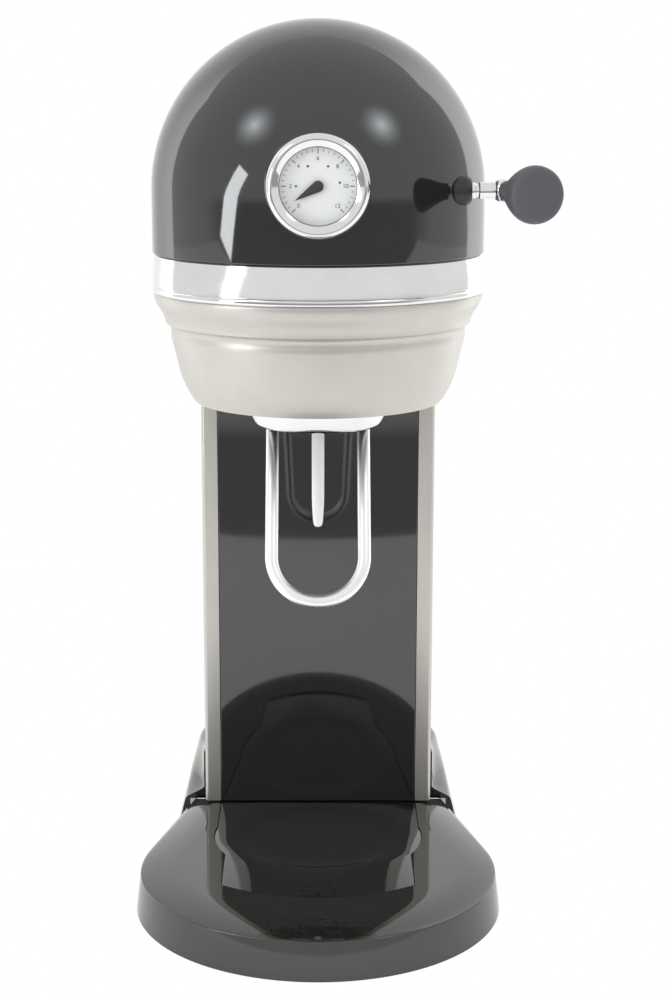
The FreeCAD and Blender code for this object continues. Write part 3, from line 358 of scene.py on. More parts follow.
def grain_group():
    """Roughness that wanders between two values, with fine grain over broad smears."""
    name = "grain"
    if name in bpy.data.node_groups:
        return bpy.data.node_groups[name]
    group, start, end = new_group(
        name, [("Low", "Float", 0.2), ("High", "Float", 0.3), ("Scale", "Float", 400.0)],
        [("Roughness", "Float", None)])
    place = node(group, "TexCoord")
    fine = node(group, "TexNoise", {"Detail": 3.0, "Roughness": 0.6})
    broad = node(group, "TexNoise", {"Scale": 23.0, "Detail": 2.0, "Distortion": 0.6})
    blend = node(group, "Math", operation="MULTIPLY_ADD")
    blend.inputs[1].default_value = 0.45
    share = node(group, "Math", {1: 0.55}, operation="MULTIPLY")
    spread = node(group, "MapRange", {"From Min": 0.3, "From Max": 0.7})
    wire_up(group, (place, "Object", fine, "Vector"), (place, "Object", broad, "Vector"),
                   (start, "Scale", fine, "Scale"), (broad, "Fac", share, 0),
                   (fine, "Fac", blend, 0), (share, 0, blend, 2), (blend, 0, spread, "Value"),
                   (start, "Low", spread, "To Min"), (start, "High", spread, "To Max"),
                   (spread, "Result", end, "Roughness"))
    return group


def texture_group():
    """A normal with a fine surface texture, such as spray or orange peel."""
    name = "surface_texture"
    if name in bpy.data.node_groups:
        return bpy.data.node_groups[name]
    group, start, end = new_group(
        name, [("Scale", "Float", 500.0), ("Stretch", "Vector", (1.0, 1.0, 1.0)),
               ("Strength", "Float", 0.1), ("Height", "Float", 0.0001)],
        [("Normal", "Vector", None)])
    place = node(group, "TexCoord")
    stretch = node(group, "VectorMath", operation="MULTIPLY")
    noise = node(group, "TexNoise", {"Detail": 4.0, "Roughness": 0.55})
    bump = node(group, "Bump")
    wire_up(group, (place, "Object", stretch, 0), (start, "Stretch", stretch, 1),
                   (stretch, 0, noise, "Vector"), (start, "Scale", noise, "Scale"),
                   (start, "Strength", bump, "Strength"), (start, "Height", bump, "Distance"),
                   (noise, "Fac", bump, "Height"), (bump, "Normal", end, "Normal"))
    return group


def tone_group():
    """A colour with mottling and dust on faces that look up."""
    name = "tone"
    if name in bpy.data.node_groups:
        return bpy.data.node_groups[name]
    group, start, end = new_group(
        name, [("Colour", "Color", (0.5, 0.5, 0.5, 1)), ("Mottle", "Float", 0.06),
               ("Scale", "Float", 60.0), ("Dust", "Float", 0.02),
               ("Dust colour", "Color", (0.55, 0.54, 0.5, 1))],
        [("Colour", "Color", None)])
    place = node(group, "TexCoord")
    mottle = node(group, "TexNoise", {"Detail": 5.0, "Roughness": 0.6})
    swing = node(group, "MapRange", {"From Min": 0.25, "From Max": 0.75, "To Min": -1.0})
    gain = node(group, "Math", {2: 1.0}, operation="MULTIPLY_ADD")
    shade = node(group, "VectorMath", operation="SCALE")
    speck = node(group, "TexNoise", {"Scale": 1400.0, "Detail": 2.0})
    specks = node(group, "MapRange", {"From Min": 0.5, "From Max": 0.72})
    facing = node(group, "SeparateXYZ")
    lying = node(group, "MapRange", {"From Min": 0.3, "From Max": 1.0})
    fall = node(group, "Math", operation="MULTIPLY")
    amount = node(group, "Math", operation="MULTIPLY", use_clamp=True)
    geometry = node(group, "NewGeometry")
    mix = node(group, "Mix", data_type="RGBA")
    wire_up(group, (place, "Object", mottle, "Vector"), (place, "Object", speck, "Vector"),
                   (start, "Scale", mottle, "Scale"), (mottle, "Fac", swing, "Value"),
                   (swing, "Result", gain, 0), (start, "Mottle", gain, 1),
                   (start, "Colour", shade, 0), (gain, 0, shade, "Scale"),
                   (speck, "Fac", specks, "Value"), (geometry, "Normal", facing, 0),
                   (facing, "Z", lying, "Value"), (specks, "Result", fall, 0),
                   (lying, "Result", fall, 1), (fall, 0, amount, 0), (start, "Dust", amount, 1),
                   (amount, 0, mix, "Factor"), (shade, 0, mix, "A"),
                   (start, "Dust colour", mix, "B"), (mix, "Result", end, "Colour"))
    return group


# ---------------------------------------------------------------- finishes

EVEN = (1.0, 1.0, 1.0)
DRAWN_UP = (1.0, 1.0, 0.04)
DRAWN_ACROSS = (0.03, 1.0, 1.0)

# deep wet gloss of the lacquered pieces
GLOSS_IOR = {"black_enamel": 1.72, "black_gloss": 1.78}

# slot: colour, metallic, roughness low and high, grain scale, mottle, dust,
#       texture scale, texture strength, texture height in mm, stretch, coat
FINISHES = {
    "black_enamel": ("enamel", 0.0, 0.035, 0.075, 300, 0.10, 0.05, 130, 0.10, 0.02, EVEN, 0.0),
    "black_gloss": ("gloss_plastic", 0.0, 0.03, 0.07, 260, 0.08, 0.03, 60, 0.06, 0.02, EVEN, 0.0),
    "black_satin": ((0.018, 0.018, 0.019), 0.0, 0.36, 0.48, 700, 0.12, 0.04,
                    1500, 0.30, 0.05, EVEN, 0.0),
    "satin_silver": ("silver", 0.82, 0.36, 0.46, 1200, 0.035, 0.0,
                     2600, 0.16, 0.03, EVEN, 0.0),
    "chrome": ("chrome", 1.0, 0.045, 0.11, 240, 0.05, 0.0, 90, 0.05, 0.02, EVEN, 0.0),
    "polished_steel": ((0.84, 0.85, 0.86), 1.0, 0.30, 0.42, 900, 0.05, 0.0,
                       1300, 0.10, 0.02, DRAWN_UP, 0.0),
    "soft_grey": ("grip", 0.0, 0.50, 0.62, 800, 0.07, 0.05, 2200, 0.30, 0.05, EVEN, 0.0),
    "white_plastic": ("white", 0.0, 0.28, 0.38, 500, 0.02, 0.0, 900, 0.08, 0.02, EVEN, 0.0),
    "rubber": ((0.022, 0.022, 0.023), 0.0, 0.66, 0.80, 900, 0.15, 0.06,
               1600, 0.35, 0.06, EVEN, 0.0),
    "zinc_steel": ((0.60, 0.61, 0.62), 1.0, 0.28, 0.44, 500, 0.12, 0.02,
                   900, 0.18, 0.03, DRAWN_ACROSS, 0.0),
    "cylinder_paint": ("cylinder", 0.1, 0.26, 0.38, 300, 0.06, 0.04,
                       240, 0.16, 0.03, EVEN, 0.3),
    "brass": ((0.72, 0.54, 0.27), 1.0, 0.20, 0.34, 400, 0.10, 0.0,
              900, 0.12, 0.02, DRAWN_ACROSS, 0.0),
    "dial_white": ("white", 0.0, 0.38, 0.50, 600, 0.03, 0.0, 1800, 0.10, 0.02, EVEN, 0.0),
    "needle_black": ((0.012, 0.012, 0.013), 0.0, 0.30, 0.42, 800, 0.10, 0.0,
                     1500, 0.10, 0.02, EVEN, 0.0),
    "clear_lens": ((0.97, 0.98, 0.98), 0.0, 0.015, 0.035, 300, 0.01, 0.0,
                   80, 0.03, 0.01, EVEN, 0.0),
}


def finish_material(slot):
    """The material of one of the record's slots, built the first time it is asked for."""
    if slot in bpy.data.materials and bpy.data.materials[slot].get("carbonator"):
        return bpy.data.materials[slot]
    (paint, metallic, smooth, rough, grain_scale, mottle, dust,
     texture_scale, strength, height, stretch, coat) = FINISHES[slot]
    material = bpy.data.materials.new(slot)
    material["carbonator"] = True
    material.use_nodes = True
    tree = material.node_tree
    shader = tree.nodes["Principled BSDF"]
    shader.inputs["IOR"].default_value = GLOSS_IOR.get(slot, 1.5)
    base = tint(paint) if isinstance(paint, str) else (*paint, 1.0)
    shader.inputs["Metallic"].default_value = metallic
    shader.inputs["Coat Weight"].default_value = coat
    for make, values, output, socket in (
            (tone_group, {"Colour": base, "Mottle": mottle, "Dust": dust}, "Colour", "Base Color"),
            (grain_group, {"Low": smooth, "High": rough, "Scale": grain_scale},
             "Roughness", "Roughness"),
            (texture_group, {"Scale": texture_scale, "Stretch": stretch, "Strength": strength,
                             "Height": height * MM}, "Normal", "Normal")):
        effect = tree.nodes.new("ShaderNodeGroup")
        effect.node_tree = make()
        for key, value in values.items():
            effect.inputs[key].default_value = value
        wire_up(tree, (effect, output, shader, socket))
    if slot == "clear_lens":
        make_glass(tree, shader)
    return material


def make_glass(tree, shader):
    """Clear glass that lets light straight through to what lies behind it."""
    shader.inputs["Transmission Weight"].default_value = 1.0
    shader.inputs["IOR"].default_value = 1.45
    output = tree.nodes["Material Output"]
    path = node(tree, "LightPath")
    clear = node(tree, "BsdfTransparent")
    either = node(tree, "Math", operation="MAXIMUM")
    mix = node(tree, "MixShader")
    wire_up(tree, (path, "Is Shadow Ray", either, 0), (path, "Is Diffuse Ray", either, 1),
                  (either, 0, mix, 0), (shader, 0, mix, 1), (clear, 0, mix, 2),
                  (mix, 0, output, "Surface"))


# ---------------------------------------------------------------- the head

def straight_back():
    """How far the head's section is drawn back between its two round ends."""
    return high("dome_shell").y - high("dome_shell").x


class CARBONATOR_OT_dome(bpy.types.Operator):
    """Enamel dome with its openings for the gauge and the lever"""
    bl_idname = "carbonator.dome"
    bl_label = "Dome"

    def execute(self, context):
        radius, wall = mm("dome_radius"), mm("dome_wall")
        foot, apex = low("dome_shell").z, high("dome_shell").z
        centre = apex - radius
        bm = bmesh.new()
        draw(bm, [(0, apex), ("arc", 0, centre, 90), (radius, foot, 0.5),
                  (radius - wall, foot, 0.4), (radius - wall, centre),
                  ("arc", 0, centre, -90)], closed=False)
        turn_long(bm, straight_back())
        gauge, bush = low("gauge_bezel"), low("lever_bush")
        hub = (low("lever_bush") + high("lever_bush")) / 2
        gauge_high = (gauge.z + high("gauge_bezel").z) / 2
        bm = carve(bm, shape(drum, mm("bezel_radius") - 1.6, (55, 95),
                             Matrix.Translation((0, 0, gauge_high)) @ TO_FRONT),
                   shape(drum, 5.6, (bush.x - 6, 95),
                         Matrix.Translation((0, hub.y, hub.z)) @ TO_RIGHT, 48))
        finish_piece(bm, "enamel_dome", ["dome_shell"], "root", "black_enamel", sharp=40)
        return {"FINISHED"}


class CARBONATOR_OT_band(bpy.types.Operator):
    """Bright band between the dome and the collar, left bare"""
    bl_idname = "carbonator.band"
    bl_label = "Band"

    def execute(self, context):
        radius = mm("band_radius")
        foot, top = low("chrome_band").z, high("chrome_band").z
        # the face leans back a little towards the top, so that it looks up
        lean, sweep = 1, 8
        bulge = (top - foot - 4.6) / (math.sin(math.radians(lean + sweep))
                                      - math.sin(math.radians(lean)))
        across = radius - 0.1 - bulge * math.cos(math.radians(lean))
        along = foot + 3.7 - bulge * math.sin(math.radians(lean))
        end = math.radians(lean + sweep)
        bm = bmesh.new()
        draw(bm, [(radius - 3.3, top), (across + bulge * math.cos(end) - 0.8, top, 0.3),
                  (across + bulge * math.cos(end), along + bulge * math.sin(end)),
                  ("arc", across, along, sweep), (radius - 0.8, foot + 3.3, 0.2),
                  (radius, foot + 2.5, 0.4), (radius, foot + 0.7, 0.6), (radius - 0.9, foot, 0.3),
                  (radius - 3.3, foot)])
        turn_long(bm, straight_back())
        finish_piece(bm, "polished_band", ["chrome_band"], "root", "chrome")
        return {"FINISHED"}


class CARBONATOR_OT_collar(bpy.types.Operator):
    """Sprayed collar with its cove, bead and rounded foot"""
    bl_idname = "carbonator.collar"
    bl_label = "Collar"

    def execute(self, context):
        lip, foot, top = mm("lip_radius"), low("collar").z, high("collar").z
        bm = bmesh.new()
        draw(bm, [(lip - 3, top), (lip - 0.4, top, 0.3), (lip, top - 0.6, 0.4), (lip, top - 4, 3),
                  (lip - 5.3, top - 11.6, 4), (lip - 5.3, top - 14.2, 0.9),
                  (lip - 7.2, top - 15.4, 0.8), (lip - 8, top - 17.6, 1.2),
                  (lip - 7.6, top - 20.2, 1.6), (lip - 13.8, top - 46, 9), (lip - 18.8, foot, 3),
                  (43.9, foot, 0.8), (43.9, foot + 3, 0.6), (lip - 18.6, foot + 3),
                  (lip - 16.8, foot + 6), (lip - 10.8, top - 18), (lip - 8, top - 12)])
        turn_long(bm, straight_back())
        column = shape(prism, column_moves(low("front_panel").y - 0.3), foot - 2, foot + 38)
        finish_piece(carve(bm, column), "silver_collar", ["collar"], "root", "satin_silver",
                     sharp=40)
        return {"FINISHED"}


def column_moves(front):
    """The column's plan with its clearance, from front to its half-round back."""
    side, centre = high("right_stile").x + 0.3, low("rear_cover").y
    return [(side, front), (side, centre), ("arc", 0, centre, 180), (-side, front)]


# ---------------------------------------------------------------- the base

BASE_CENTRE = -32.4
BASE_TAPER = 14.2


def base_moves(inset=0.0):
    """The base's plan: a round front that runs into two tapered flanks."""
    radius, taper = mm("base_radius") - inset, math.radians(BASE_TAPER)
    side = (radius * math.cos(taper), BASE_CENTRE + radius * math.sin(taper))
    end = high("base_shell").y
    back = side[0] - (end - side[1]) * math.tan(taper)
    return [side, ("arc", 0, BASE_CENTRE, -180 - 2 * BASE_TAPER), (-back, end - inset),
            (back, end - inset)]


def tray_moves(grow=0.0):
    """The tray's plan: a channel from the column, a round seat and a rounded front."""
    half, seat, strip, nose = 50 + grow, 51 + grow, 44.8 + grow, 76 + grow
    wide, narrow = math.acos(half / seat), math.acos(strip / seat)
    front = math.acos(strip / nose)
    rear = low("front_panel").y - 0.3 + grow
    sweep = -math.degrees(wide + narrow)
    return [(half, rear, 0.3), (half, seat * math.sin(wide)), ("arc", 0, 0, sweep),
            (strip, -nose * math.sin(front), 1.5),
            ("arc", 0, 0, -math.degrees(math.pi - 2 * front)),
            (-strip, -seat * math.sin(narrow)), ("arc", 0, 0, sweep), (-half, rear, 0.3)]


class CARBONATOR_OT_base(bpy.types.Operator):
    """Enamel base with a crowned shoulder, a hard rim and a sloping skirt"""
    bl_idname = "carbonator.base"
    bl_label = "Base"

    def execute(self, context):
        foot, top, rim = low("base_shell").z, high("base_shell").z, mm("rim_height")
        skirt, wall, bay_top, skin = math.radians(6.9), 6.5, 15, 0.02
        rise = rim - foot - 0.5
        rings = [(rise * math.tan(skirt), rise), (0.12, 0.3), (0.3, 0.2)]
        steps, reach = 10, 20.0
        crown = [(top - rim) * (1 - (1 - step / steps) ** 2) for step in range(steps + 1)]
        rings += [(reach / steps, after - before) for before, after in zip(crown, crown[1:])]
        rings += [(3.0, 0.0)] * 6
        bm = carve(stepped(base_moves(), rings, foot),
                   shape(prism, tray_moves(0.3), low("bottle_tray").z - skin, top + 3),
                   shape(prism, base_moves(wall), 0, bay_top))
        finish_piece(bm, "enamel_base", ["base_shell"], "root", "black_enamel", sharp=38)
        return {"FINISHED"}


class CARBONATOR_OT_shoe(bpy.types.Operator):
    """Enamel shoe behind the base, which holds the column"""
    bl_idname = "carbonator.shoe"
    bl_label = "Shoe"

    def execute(self, context):
        foot, top, end = low("base_shell").z, high("rear_shoe").z, high("rear_shoe").y
        half, corner, start, wall = high("rear_shoe").x, 34, 46, 7
        lean, soft, steps = math.radians(14.5), 7.0, 7
        turn_in = math.radians(90) - lean
        reach = soft / (1 - math.cos(turn_in))
        rings = [((top - foot - soft) * math.tan(lean), top - foot - soft)]
        for step in range(steps):
            before, after = (turn_in * (1 - k / steps) for k in (step, step + 1))
            rings.append((reach * (math.sin(before) - math.sin(after)),
                          reach * (math.cos(after) - math.cos(before))))
        bm = stepped([(half, start), (half, end - corner),
                      ("arc", half - corner, end - corner, 90), (corner - half, end),
                      ("arc", corner - half, end - corner, 90), (-half, start)],
                     rings + [(0.6, 0.0)], foot)
        floor = high("base_shell").z
        self.draw_in_front(bm, floor)
        joint, inner = high("base_shell").y + 0.3, half - wall
        cuts = (shape(block, (-half - 5, start - 5, -5), (half + 5, joint, top + 5)),
                shape(prism, column_moves(50), floor, top + 6),
                shape(prism, [(inner, 50), (inner, end - corner),
                              ("arc", half - corner, end - corner, 90),
                              (corner - half, end - wall),
                              ("arc", corner - half, end - corner, 90), (-inner, 50)],
                      -5, floor - 4))
        finish_piece(carve(bm, *cuts), "enamel_shoe", ["rear_shoe"], "root", "black_enamel",
                     sharp=38)
        return {"FINISHED"}

    def draw_in_front(self, bm, floor):
        """Narrows the shoe to the column's width at its front, above the base."""
        slim, start, front, blend_up, blend_back = 59.6, floor - 4, 61, 7, 36
        cuts = [((0, 0, level), AXIS_Z) for level in range(round(floor) - 4, 40)]
        cuts += [((0, back, 0), AXIS_Y) for back in range(60, 100, 4)]
        for point, normal in cuts:
            bmesh.ops.bisect_plane(bm, geom=bm.verts[:] + bm.edges[:] + bm.faces[:],
                                   plane_co=point, plane_no=normal)
        for vert in bm.verts:
            lift = ease((vert.co.z - start) / blend_up)
            near = 1 - ease((vert.co.y - front) / blend_back)
            spare = max(0.0, abs(vert.co.x) - slim)
            vert.co.x -= math.copysign(lift * near * spare, vert.co.x)


class CARBONATOR_OT_tray(bpy.types.Operator):
    """Gloss tray with the dish that the bottle stands in"""
    bl_idname = "carbonator.tray"
    bl_label = "Tray"

    def execute(self, context):
        bottom, top = low("bottle_tray").z, high("bottle_tray").z
        rim, deep = mm("dish_radius"), mm("dish_depth")
        bm = bmesh.new()
        prism(bm, tray_moves(), bottom, top)
        soften(bm, 0.35, angle=60)
        dish = turned([(0, top - deep), (rim - 8, top - deep, 5), (rim, top + 0.05, 2),
                       (rim + 3, top + 0.05), (rim + 3, top + 2), (0, top + 2)], closed=False)
        finish_piece(carve(bm, dish), "gloss_tray", ["bottle_tray"], "root", "black_gloss",
                     sharp=30)
        return {"FINISHED"}


# ---------------------------------------------------------------- the column

class CARBONATOR_OT_column(bpy.types.Operator):
    """Front panel, two stiles, rear cover and its latch, with their edges rounded"""
    bl_idname = "carbonator.column"
    bl_label = "Column"

    def execute(self, context):
        edge = mm("edge_round")
        for name, source, body, finish, size in (
                ("gloss_panel", "front_panel", "root", "black_gloss", edge),
                ("silver_stile_left", "left_stile", "root", "satin_silver", edge),
                ("silver_stile_right", "right_stile", "root", "satin_silver", edge),
                ("back_cover_shell", "rear_cover", "back_cover", "black_satin", edge * 0.8),
                ("release_latch", "cover_latch", "latch", "black_satin", edge)):
            finish_piece(from_node(source, size, segments=3), name, [source], body, finish)
        return {"FINISHED"}


# ---------------------------------------------------------------- the gauge

def gauge_place(turned=0.0):
    """Puts a shape that faces +Z onto the gauge's axis, facing the front."""
    centre = (low("gauge_bezel").z + high("gauge_bezel").z) / 2
    return (Matrix.Translation((0, 0, centre)) @ TO_FRONT
            @ Matrix.Rotation(math.radians(turned), 4, "Z"))


class CARBONATOR_OT_gauge(bpy.types.Operator):
    """Pressure gauge: bright rim, printed face, pointer and glass"""
    bl_idname = "carbonator.gauge"
    bl_label = "Gauge"

    def execute(self, context):
        radius = mm("bezel_radius")
        back, front = -high("gauge_bezel").y, -low("gauge_bezel").y
        face, glass = -low("gauge_dial").y, -low("gauge_lens").y
        window = 16.3
        bm = turned([(radius - 1.6, back), (radius - 0.2, back + 0.6, 0.5),
                     (radius, front - 4, 1.5), (radius - 1.2, front - 0.9, 1.2),
                     (radius - 3.1, front, 1.2), (radius - 4, front - 0.6, 0.5),
                     (window + 0.3, glass + 0.5, 0.4), (window, glass - 0.2, 0.2),
                     (window, glass - 1), (18.6, glass - 1), (18.6, back)])
        finish_piece(bm, "gauge_rim", ["gauge_bezel"], "root", "chrome", gauge_place())

        bm = turned([(0, glass - 1), (window - 0.05, glass - 1),
                     (window - 0.05, glass - 0.1, 0.15), (window * 0.6, glass + 0.1, 2),
                     (0, glass + 0.16)], closed=False)
        finish_piece(bm, "gauge_glass", ["gauge_lens"], "root", "clear_lens", gauge_place())

        bm = turned([(1.2, face - 1), (17, face - 1), (17, face), (1.2, face)])
        finish_piece(bm, "gauge_face", ["gauge_dial"], "root", "dial_white", gauge_place())
        self.print_scale(face)

        hub, reach, body = 2.4, 11.8, -low("gauge_needle").y
        open_angle = math.degrees(math.acos(hub / reach))
        start = math.radians(open_angle)
        bm = bmesh.new()
        prism(bm, [(hub * math.cos(start), hub * math.sin(start)),
                   ("arc", 0, 0, 360 - 2 * open_angle), (reach, 0, 0.3)], body - 0.6, body - 0.05)
        soften(bm, 0.12, angle=60)
        drum(bm, 1.0, (face - 1, body), steps=32)
        finish_piece(bm, "gauge_pointer", ["gauge_needle"], "needle", "needle_black",
                     gauge_place(211.5))
        return {"FINISHED"}

    def print_scale(self, face):
        """Plain ticks, dots and numbers, printed on the face."""
        bm = bmesh.new()
        ink, ticks, major_step, first, step = 0.03, 31, 5, 225, 9
        tick_end, dot_ring, number_ring = 15.4, 9.3, 11.6
        lift = face + ink
        for index in range(ticks):
            angle = math.radians(first - index * step)
            inner, wide = (13.4, 0.34) if index % major_step == 0 else (14.3, 0.2)
            place = (Matrix.Rotation(angle, 4, "Z")
                     @ Matrix.Translation(((inner + tick_end) / 2, 0, lift))
                     @ Matrix.Diagonal((tick_end - inner, wide, 2 * ink, 1)))
            bmesh.ops.create_cube(bm, size=1, matrix=place)
        for degrees in (180, 117, 63, 9):
            angle = math.radians(degrees)
            drum(bm, 0.5, (lift - ink, lift + ink),
                 Matrix.Translation((dot_ring * math.cos(angle), dot_ring * math.sin(angle), 0)),
                 20)
        for index in range(0, ticks, major_step):
            angle = math.radians(first - index * step)
            self.add_number(bm, str(index // major_step * 2), number_ring * math.cos(angle),
                            number_ring * math.sin(angle), lift)
        bmesh.ops.remove_doubles(bm, verts=bm.verts, dist=0.0008)
        finish_piece(bm, "gauge_print", [], "root", "needle_black", gauge_place())

    def add_number(self, bm, text, across, up, lift):
        """Raised figures centred on a spot of the face."""
        letters = bpy.data.curves.new("number", "FONT")
        letters.body, letters.size, letters.extrude = text, 2.5, 0.03
        letters.align_x, letters.align_y = "CENTER", "CENTER"
        holder = bpy.data.objects.new("number", letters)
        bpy.context.scene.collection.objects.link(holder)
        graph = bpy.context.evaluated_depsgraph_get()
        mesh = bpy.data.meshes.new_from_object(holder.evaluated_get(graph))
        mesh.transform(Matrix.Translation((across, up, lift)))
        bm.from_mesh(mesh)
        bpy.data.objects.remove(holder)
        bpy.data.curves.remove(letters)
        bpy.data.meshes.remove(mesh)


# ---------------------------------------------------------------- the lever

class CARBONATOR_OT_lever(bpy.types.Operator):
    """Side lever: bright rod with its elbow, soft grip and the bush in the dome"""
    bl_idname = "carbonator.lever"
    bl_label = "Lever"

    def execute(self, context):
        middle = (low("lever_shaft") + high("lever_shaft")) / 2
        axis = Matrix.Translation((0, middle.y, middle.z)) @ TO_RIGHT
        rod, ball, groove = 3.75, 5.2, 3.2
        elbow = high("lever_shaft").x - ball
        reach = math.asin(rod / ball)
        bm = turned([(0, -30), (rod, -30, 0.4), (rod, 68.6), (groove, 69.2), (groove, 70.4),
                     (rod, 71), (rod, elbow - ball * math.cos(reach)),
                     ("arc", 0, elbow, math.degrees(reach) - 180)], steps=48, closed=False)
        finish_piece(bm, "lever_rod", ["lever_shaft"], "lever", "chrome", axis)

        grip, long = mm("grip_radius"), 40
        bm = turned([(0, 5.4), (4.7, 5.4, 0.5), (5.0, 9, 2), (6.2, 15, 5), (10.3, 25.5, 6),
                     (grip, 34.5, 1.2), (grip - 0.6, 38.6, 1.2), (grip - 2.6, long, 1.6),
                     (grip - 6, long - 0.35, 2), (0, long - 0.8)], steps=96, closed=False)
        splay = Matrix.Rotation(math.radians(17), 4, "Z") @ TO_FRONT
        finish_piece(bm, "lever_grip", ["lever_knob"], "lever", "soft_grey",
                     Matrix.Translation((elbow, middle.y, middle.z)) @ splay)

        inner, outer = low("lever_bush").x, high("lever_bush").x
        bm = turned([(4.1, inner), (6.4, inner), (6.4, outer - 2.2, 0.5), (5.6, outer - 0.6, 0.6),
                     (4.9, outer, 0.3), (4.1, outer)], steps=64)
        finish_piece(bm, "lever_collar", ["lever_bush"], "root", "black_satin", axis)
        return {"FINISHED"}


# ---------------------------------------------------------------- the bottle carrier

class CARBONATOR_OT_carrier(bpy.types.Operator):
    """Bright cup that takes the bottle's neck, its nozzle and the wire loop"""
    bl_idname = "carbonator.carrier"
    bl_label = "Bottle carrier"

    def execute(self, context):
        foot, top, wide = low("carrier_bowl").z, high("carrier_bowl").z, high("carrier_bowl").x
        bm = turned([(26.6, foot + 1.3, 0.3), (27, foot, 0.5), (29.6, foot, 2),
                     (32.4, foot + 5, 4), (wide - 0.15, foot + 10, 3), (wide, top, 0.3),
                     (wide - 1.5, top), (wide - 1.7, foot + 10, 3), (30.7, foot + 5.6, 2),
                     (28.6, foot + 1.7, 0.8)])
        finish_piece(bm, "bottle_cup", ["carrier_bowl"], "bottle_carrier", "chrome")

        tip, head = low("nozzle").z, high("nozzle").z
        bm = turned([(0, tip), (1.7, tip, 1.2), (2.35, tip + 2.4, 1.5), (2.95, tip + 12, 3),
                     (3, head - 4), (5, head - 4, 0.3), (5, head, 0.4),
                     (0, head)], steps=64, closed=False)
        finish_piece(bm, "carbonating_tube", ["nozzle"], "bottle_carrier", "white_plastic")
        self.make_loop()
        return {"FINISHED"}

    def make_loop(self):
        """Two legs and a half turn of round wire, with the stubs it swings on."""
        half, leg, lean, wire, stub, above = 21.25, 77.4, 30, mm("wire_radius"), 5.1, 1.5
        bm = bmesh.new()
        ring = bmesh.ops.create_circle(bm, cap_ends=True, radius=wire, segments=32,
                                       matrix=Matrix.Translation((-half, 0, above)))["verts"]
        section = list({face for vert in ring for face in vert.link_faces})

        def carry(faces, drop):
            drawn = bmesh.ops.extrude_face_region(bm, geom=faces)["geom"]
            verts = [item for item in drawn if isinstance(item, bmesh.types.BMVert)]
            bmesh.ops.translate(bm, verts=verts, vec=(0, 0, drop))
            bmesh.ops.delete(bm, geom=faces, context="FACES_ONLY")
            return [item for item in drawn if isinstance(item, bmesh.types.BMFace)]

        bmesh.ops.duplicate(bm, geom=section)  # stays behind as the first leg's end
        down = carry(section, -leg - above)
        spun = bmesh.ops.spin(bm, geom=down, cent=(0, 0, -leg), axis=AXIS_Y,
                              angle=-math.pi, steps=48)["geom_last"]
        bmesh.ops.delete(bm, geom=down, context="FACES_ONLY")
        last = [item for item in spun if isinstance(item, bmesh.types.BMFace)]
        carry(last, leg + above)
        close(bm)
        soften(bm, 0.8, angle=60)
        for near in (-half - stub, half):
            drum(bm, 2, (near, near + stub), TO_RIGHT, 32)
        place = (Matrix.Translation((0, -1, 240))
                 @ Matrix.Rotation(math.radians(-lean), 4, "X"))
        finish_piece(bm, "bottle_loop", ["wire_loop"], "wire_loop", "polished_steel", place)


# ---------------------------------------------------------------- the rest of the frame

KEPT = {
    "rubber": ["feet", "bottle_seal"],
    "black_satin": ["cylinder_cup", "carrier_core", "rod_guide"],
    "white_plastic": ["gas_tube"],
    "polished_steel": ["lever_spring", "rocker_pin", "valve_plunger"],
    "zinc_steel": ["base_plate", "base_screws", "column_spine", "cylinder_clip", "head_chassis",
                   "head_screws", "gauge_can", "carrier_bracket", "lever_frame", "lever_crank",
                   "pull_rod", "valve_bridge", "rocker"],
    "cylinder_paint": ["gas_cylinder"],
    "brass": ["cylinder_valve", "valve_block", "relief_valve", "gauge_tube"],
}


class CARBONATOR_OT_inside(bpy.types.Operator):
    """Finishes for the parts of the frame that show as they are"""
    bl_idname = "carbonator.inside"
    bl_label = "Inner parts"

    def execute(self, context):
        for finish, names in KEPT.items():
            for name in names:
                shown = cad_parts[name]
                if not shown.data.materials:
                    shown.data.materials.append(None)
                for slot in shown.material_slots:
                    slot.material = finish_material(finish)
        return {"FINISHED"}


# ---------------------------------------------------------------- stage

def stage_plane(name, corners, shade):
    """A flat stage piece through four corners in metres."""
    bm = bmesh.new()
    verts = bmesh.ops.create_grid(bm, x_segments=1, y_segments=1, size=1)["verts"]
    for vert, corner in zip(verts, corners):
        vert.co = corner
    mesh = bpy.data.meshes.new(name)
    bm.to_mesh(mesh)
    bm.free()
    plane = bpy.data.objects.new(name, mesh)
    bpy.context.scene.collection.objects.link(plane)
    mesh.materials.append(shade)
    return plane


def stage_material(name, glow, paint, strength):
    """A stage surface that glows, and shows shade where it has paint."""
    material = bpy.data.materials.new(name)
    material.use_nodes = True
    shader = material.node_tree.nodes["Principled BSDF"]
    shader.inputs["Base Color"].default_value = (*paint, 1)
    shader.inputs["Roughness"].default_value = 0.9
    shader.inputs["Specular IOR Level"].default_value = 0.0
    shader.inputs["Emission Color"].default_value = (*glow, 1)
    shader.inputs["Emission Strength"].default_value = strength
    return material


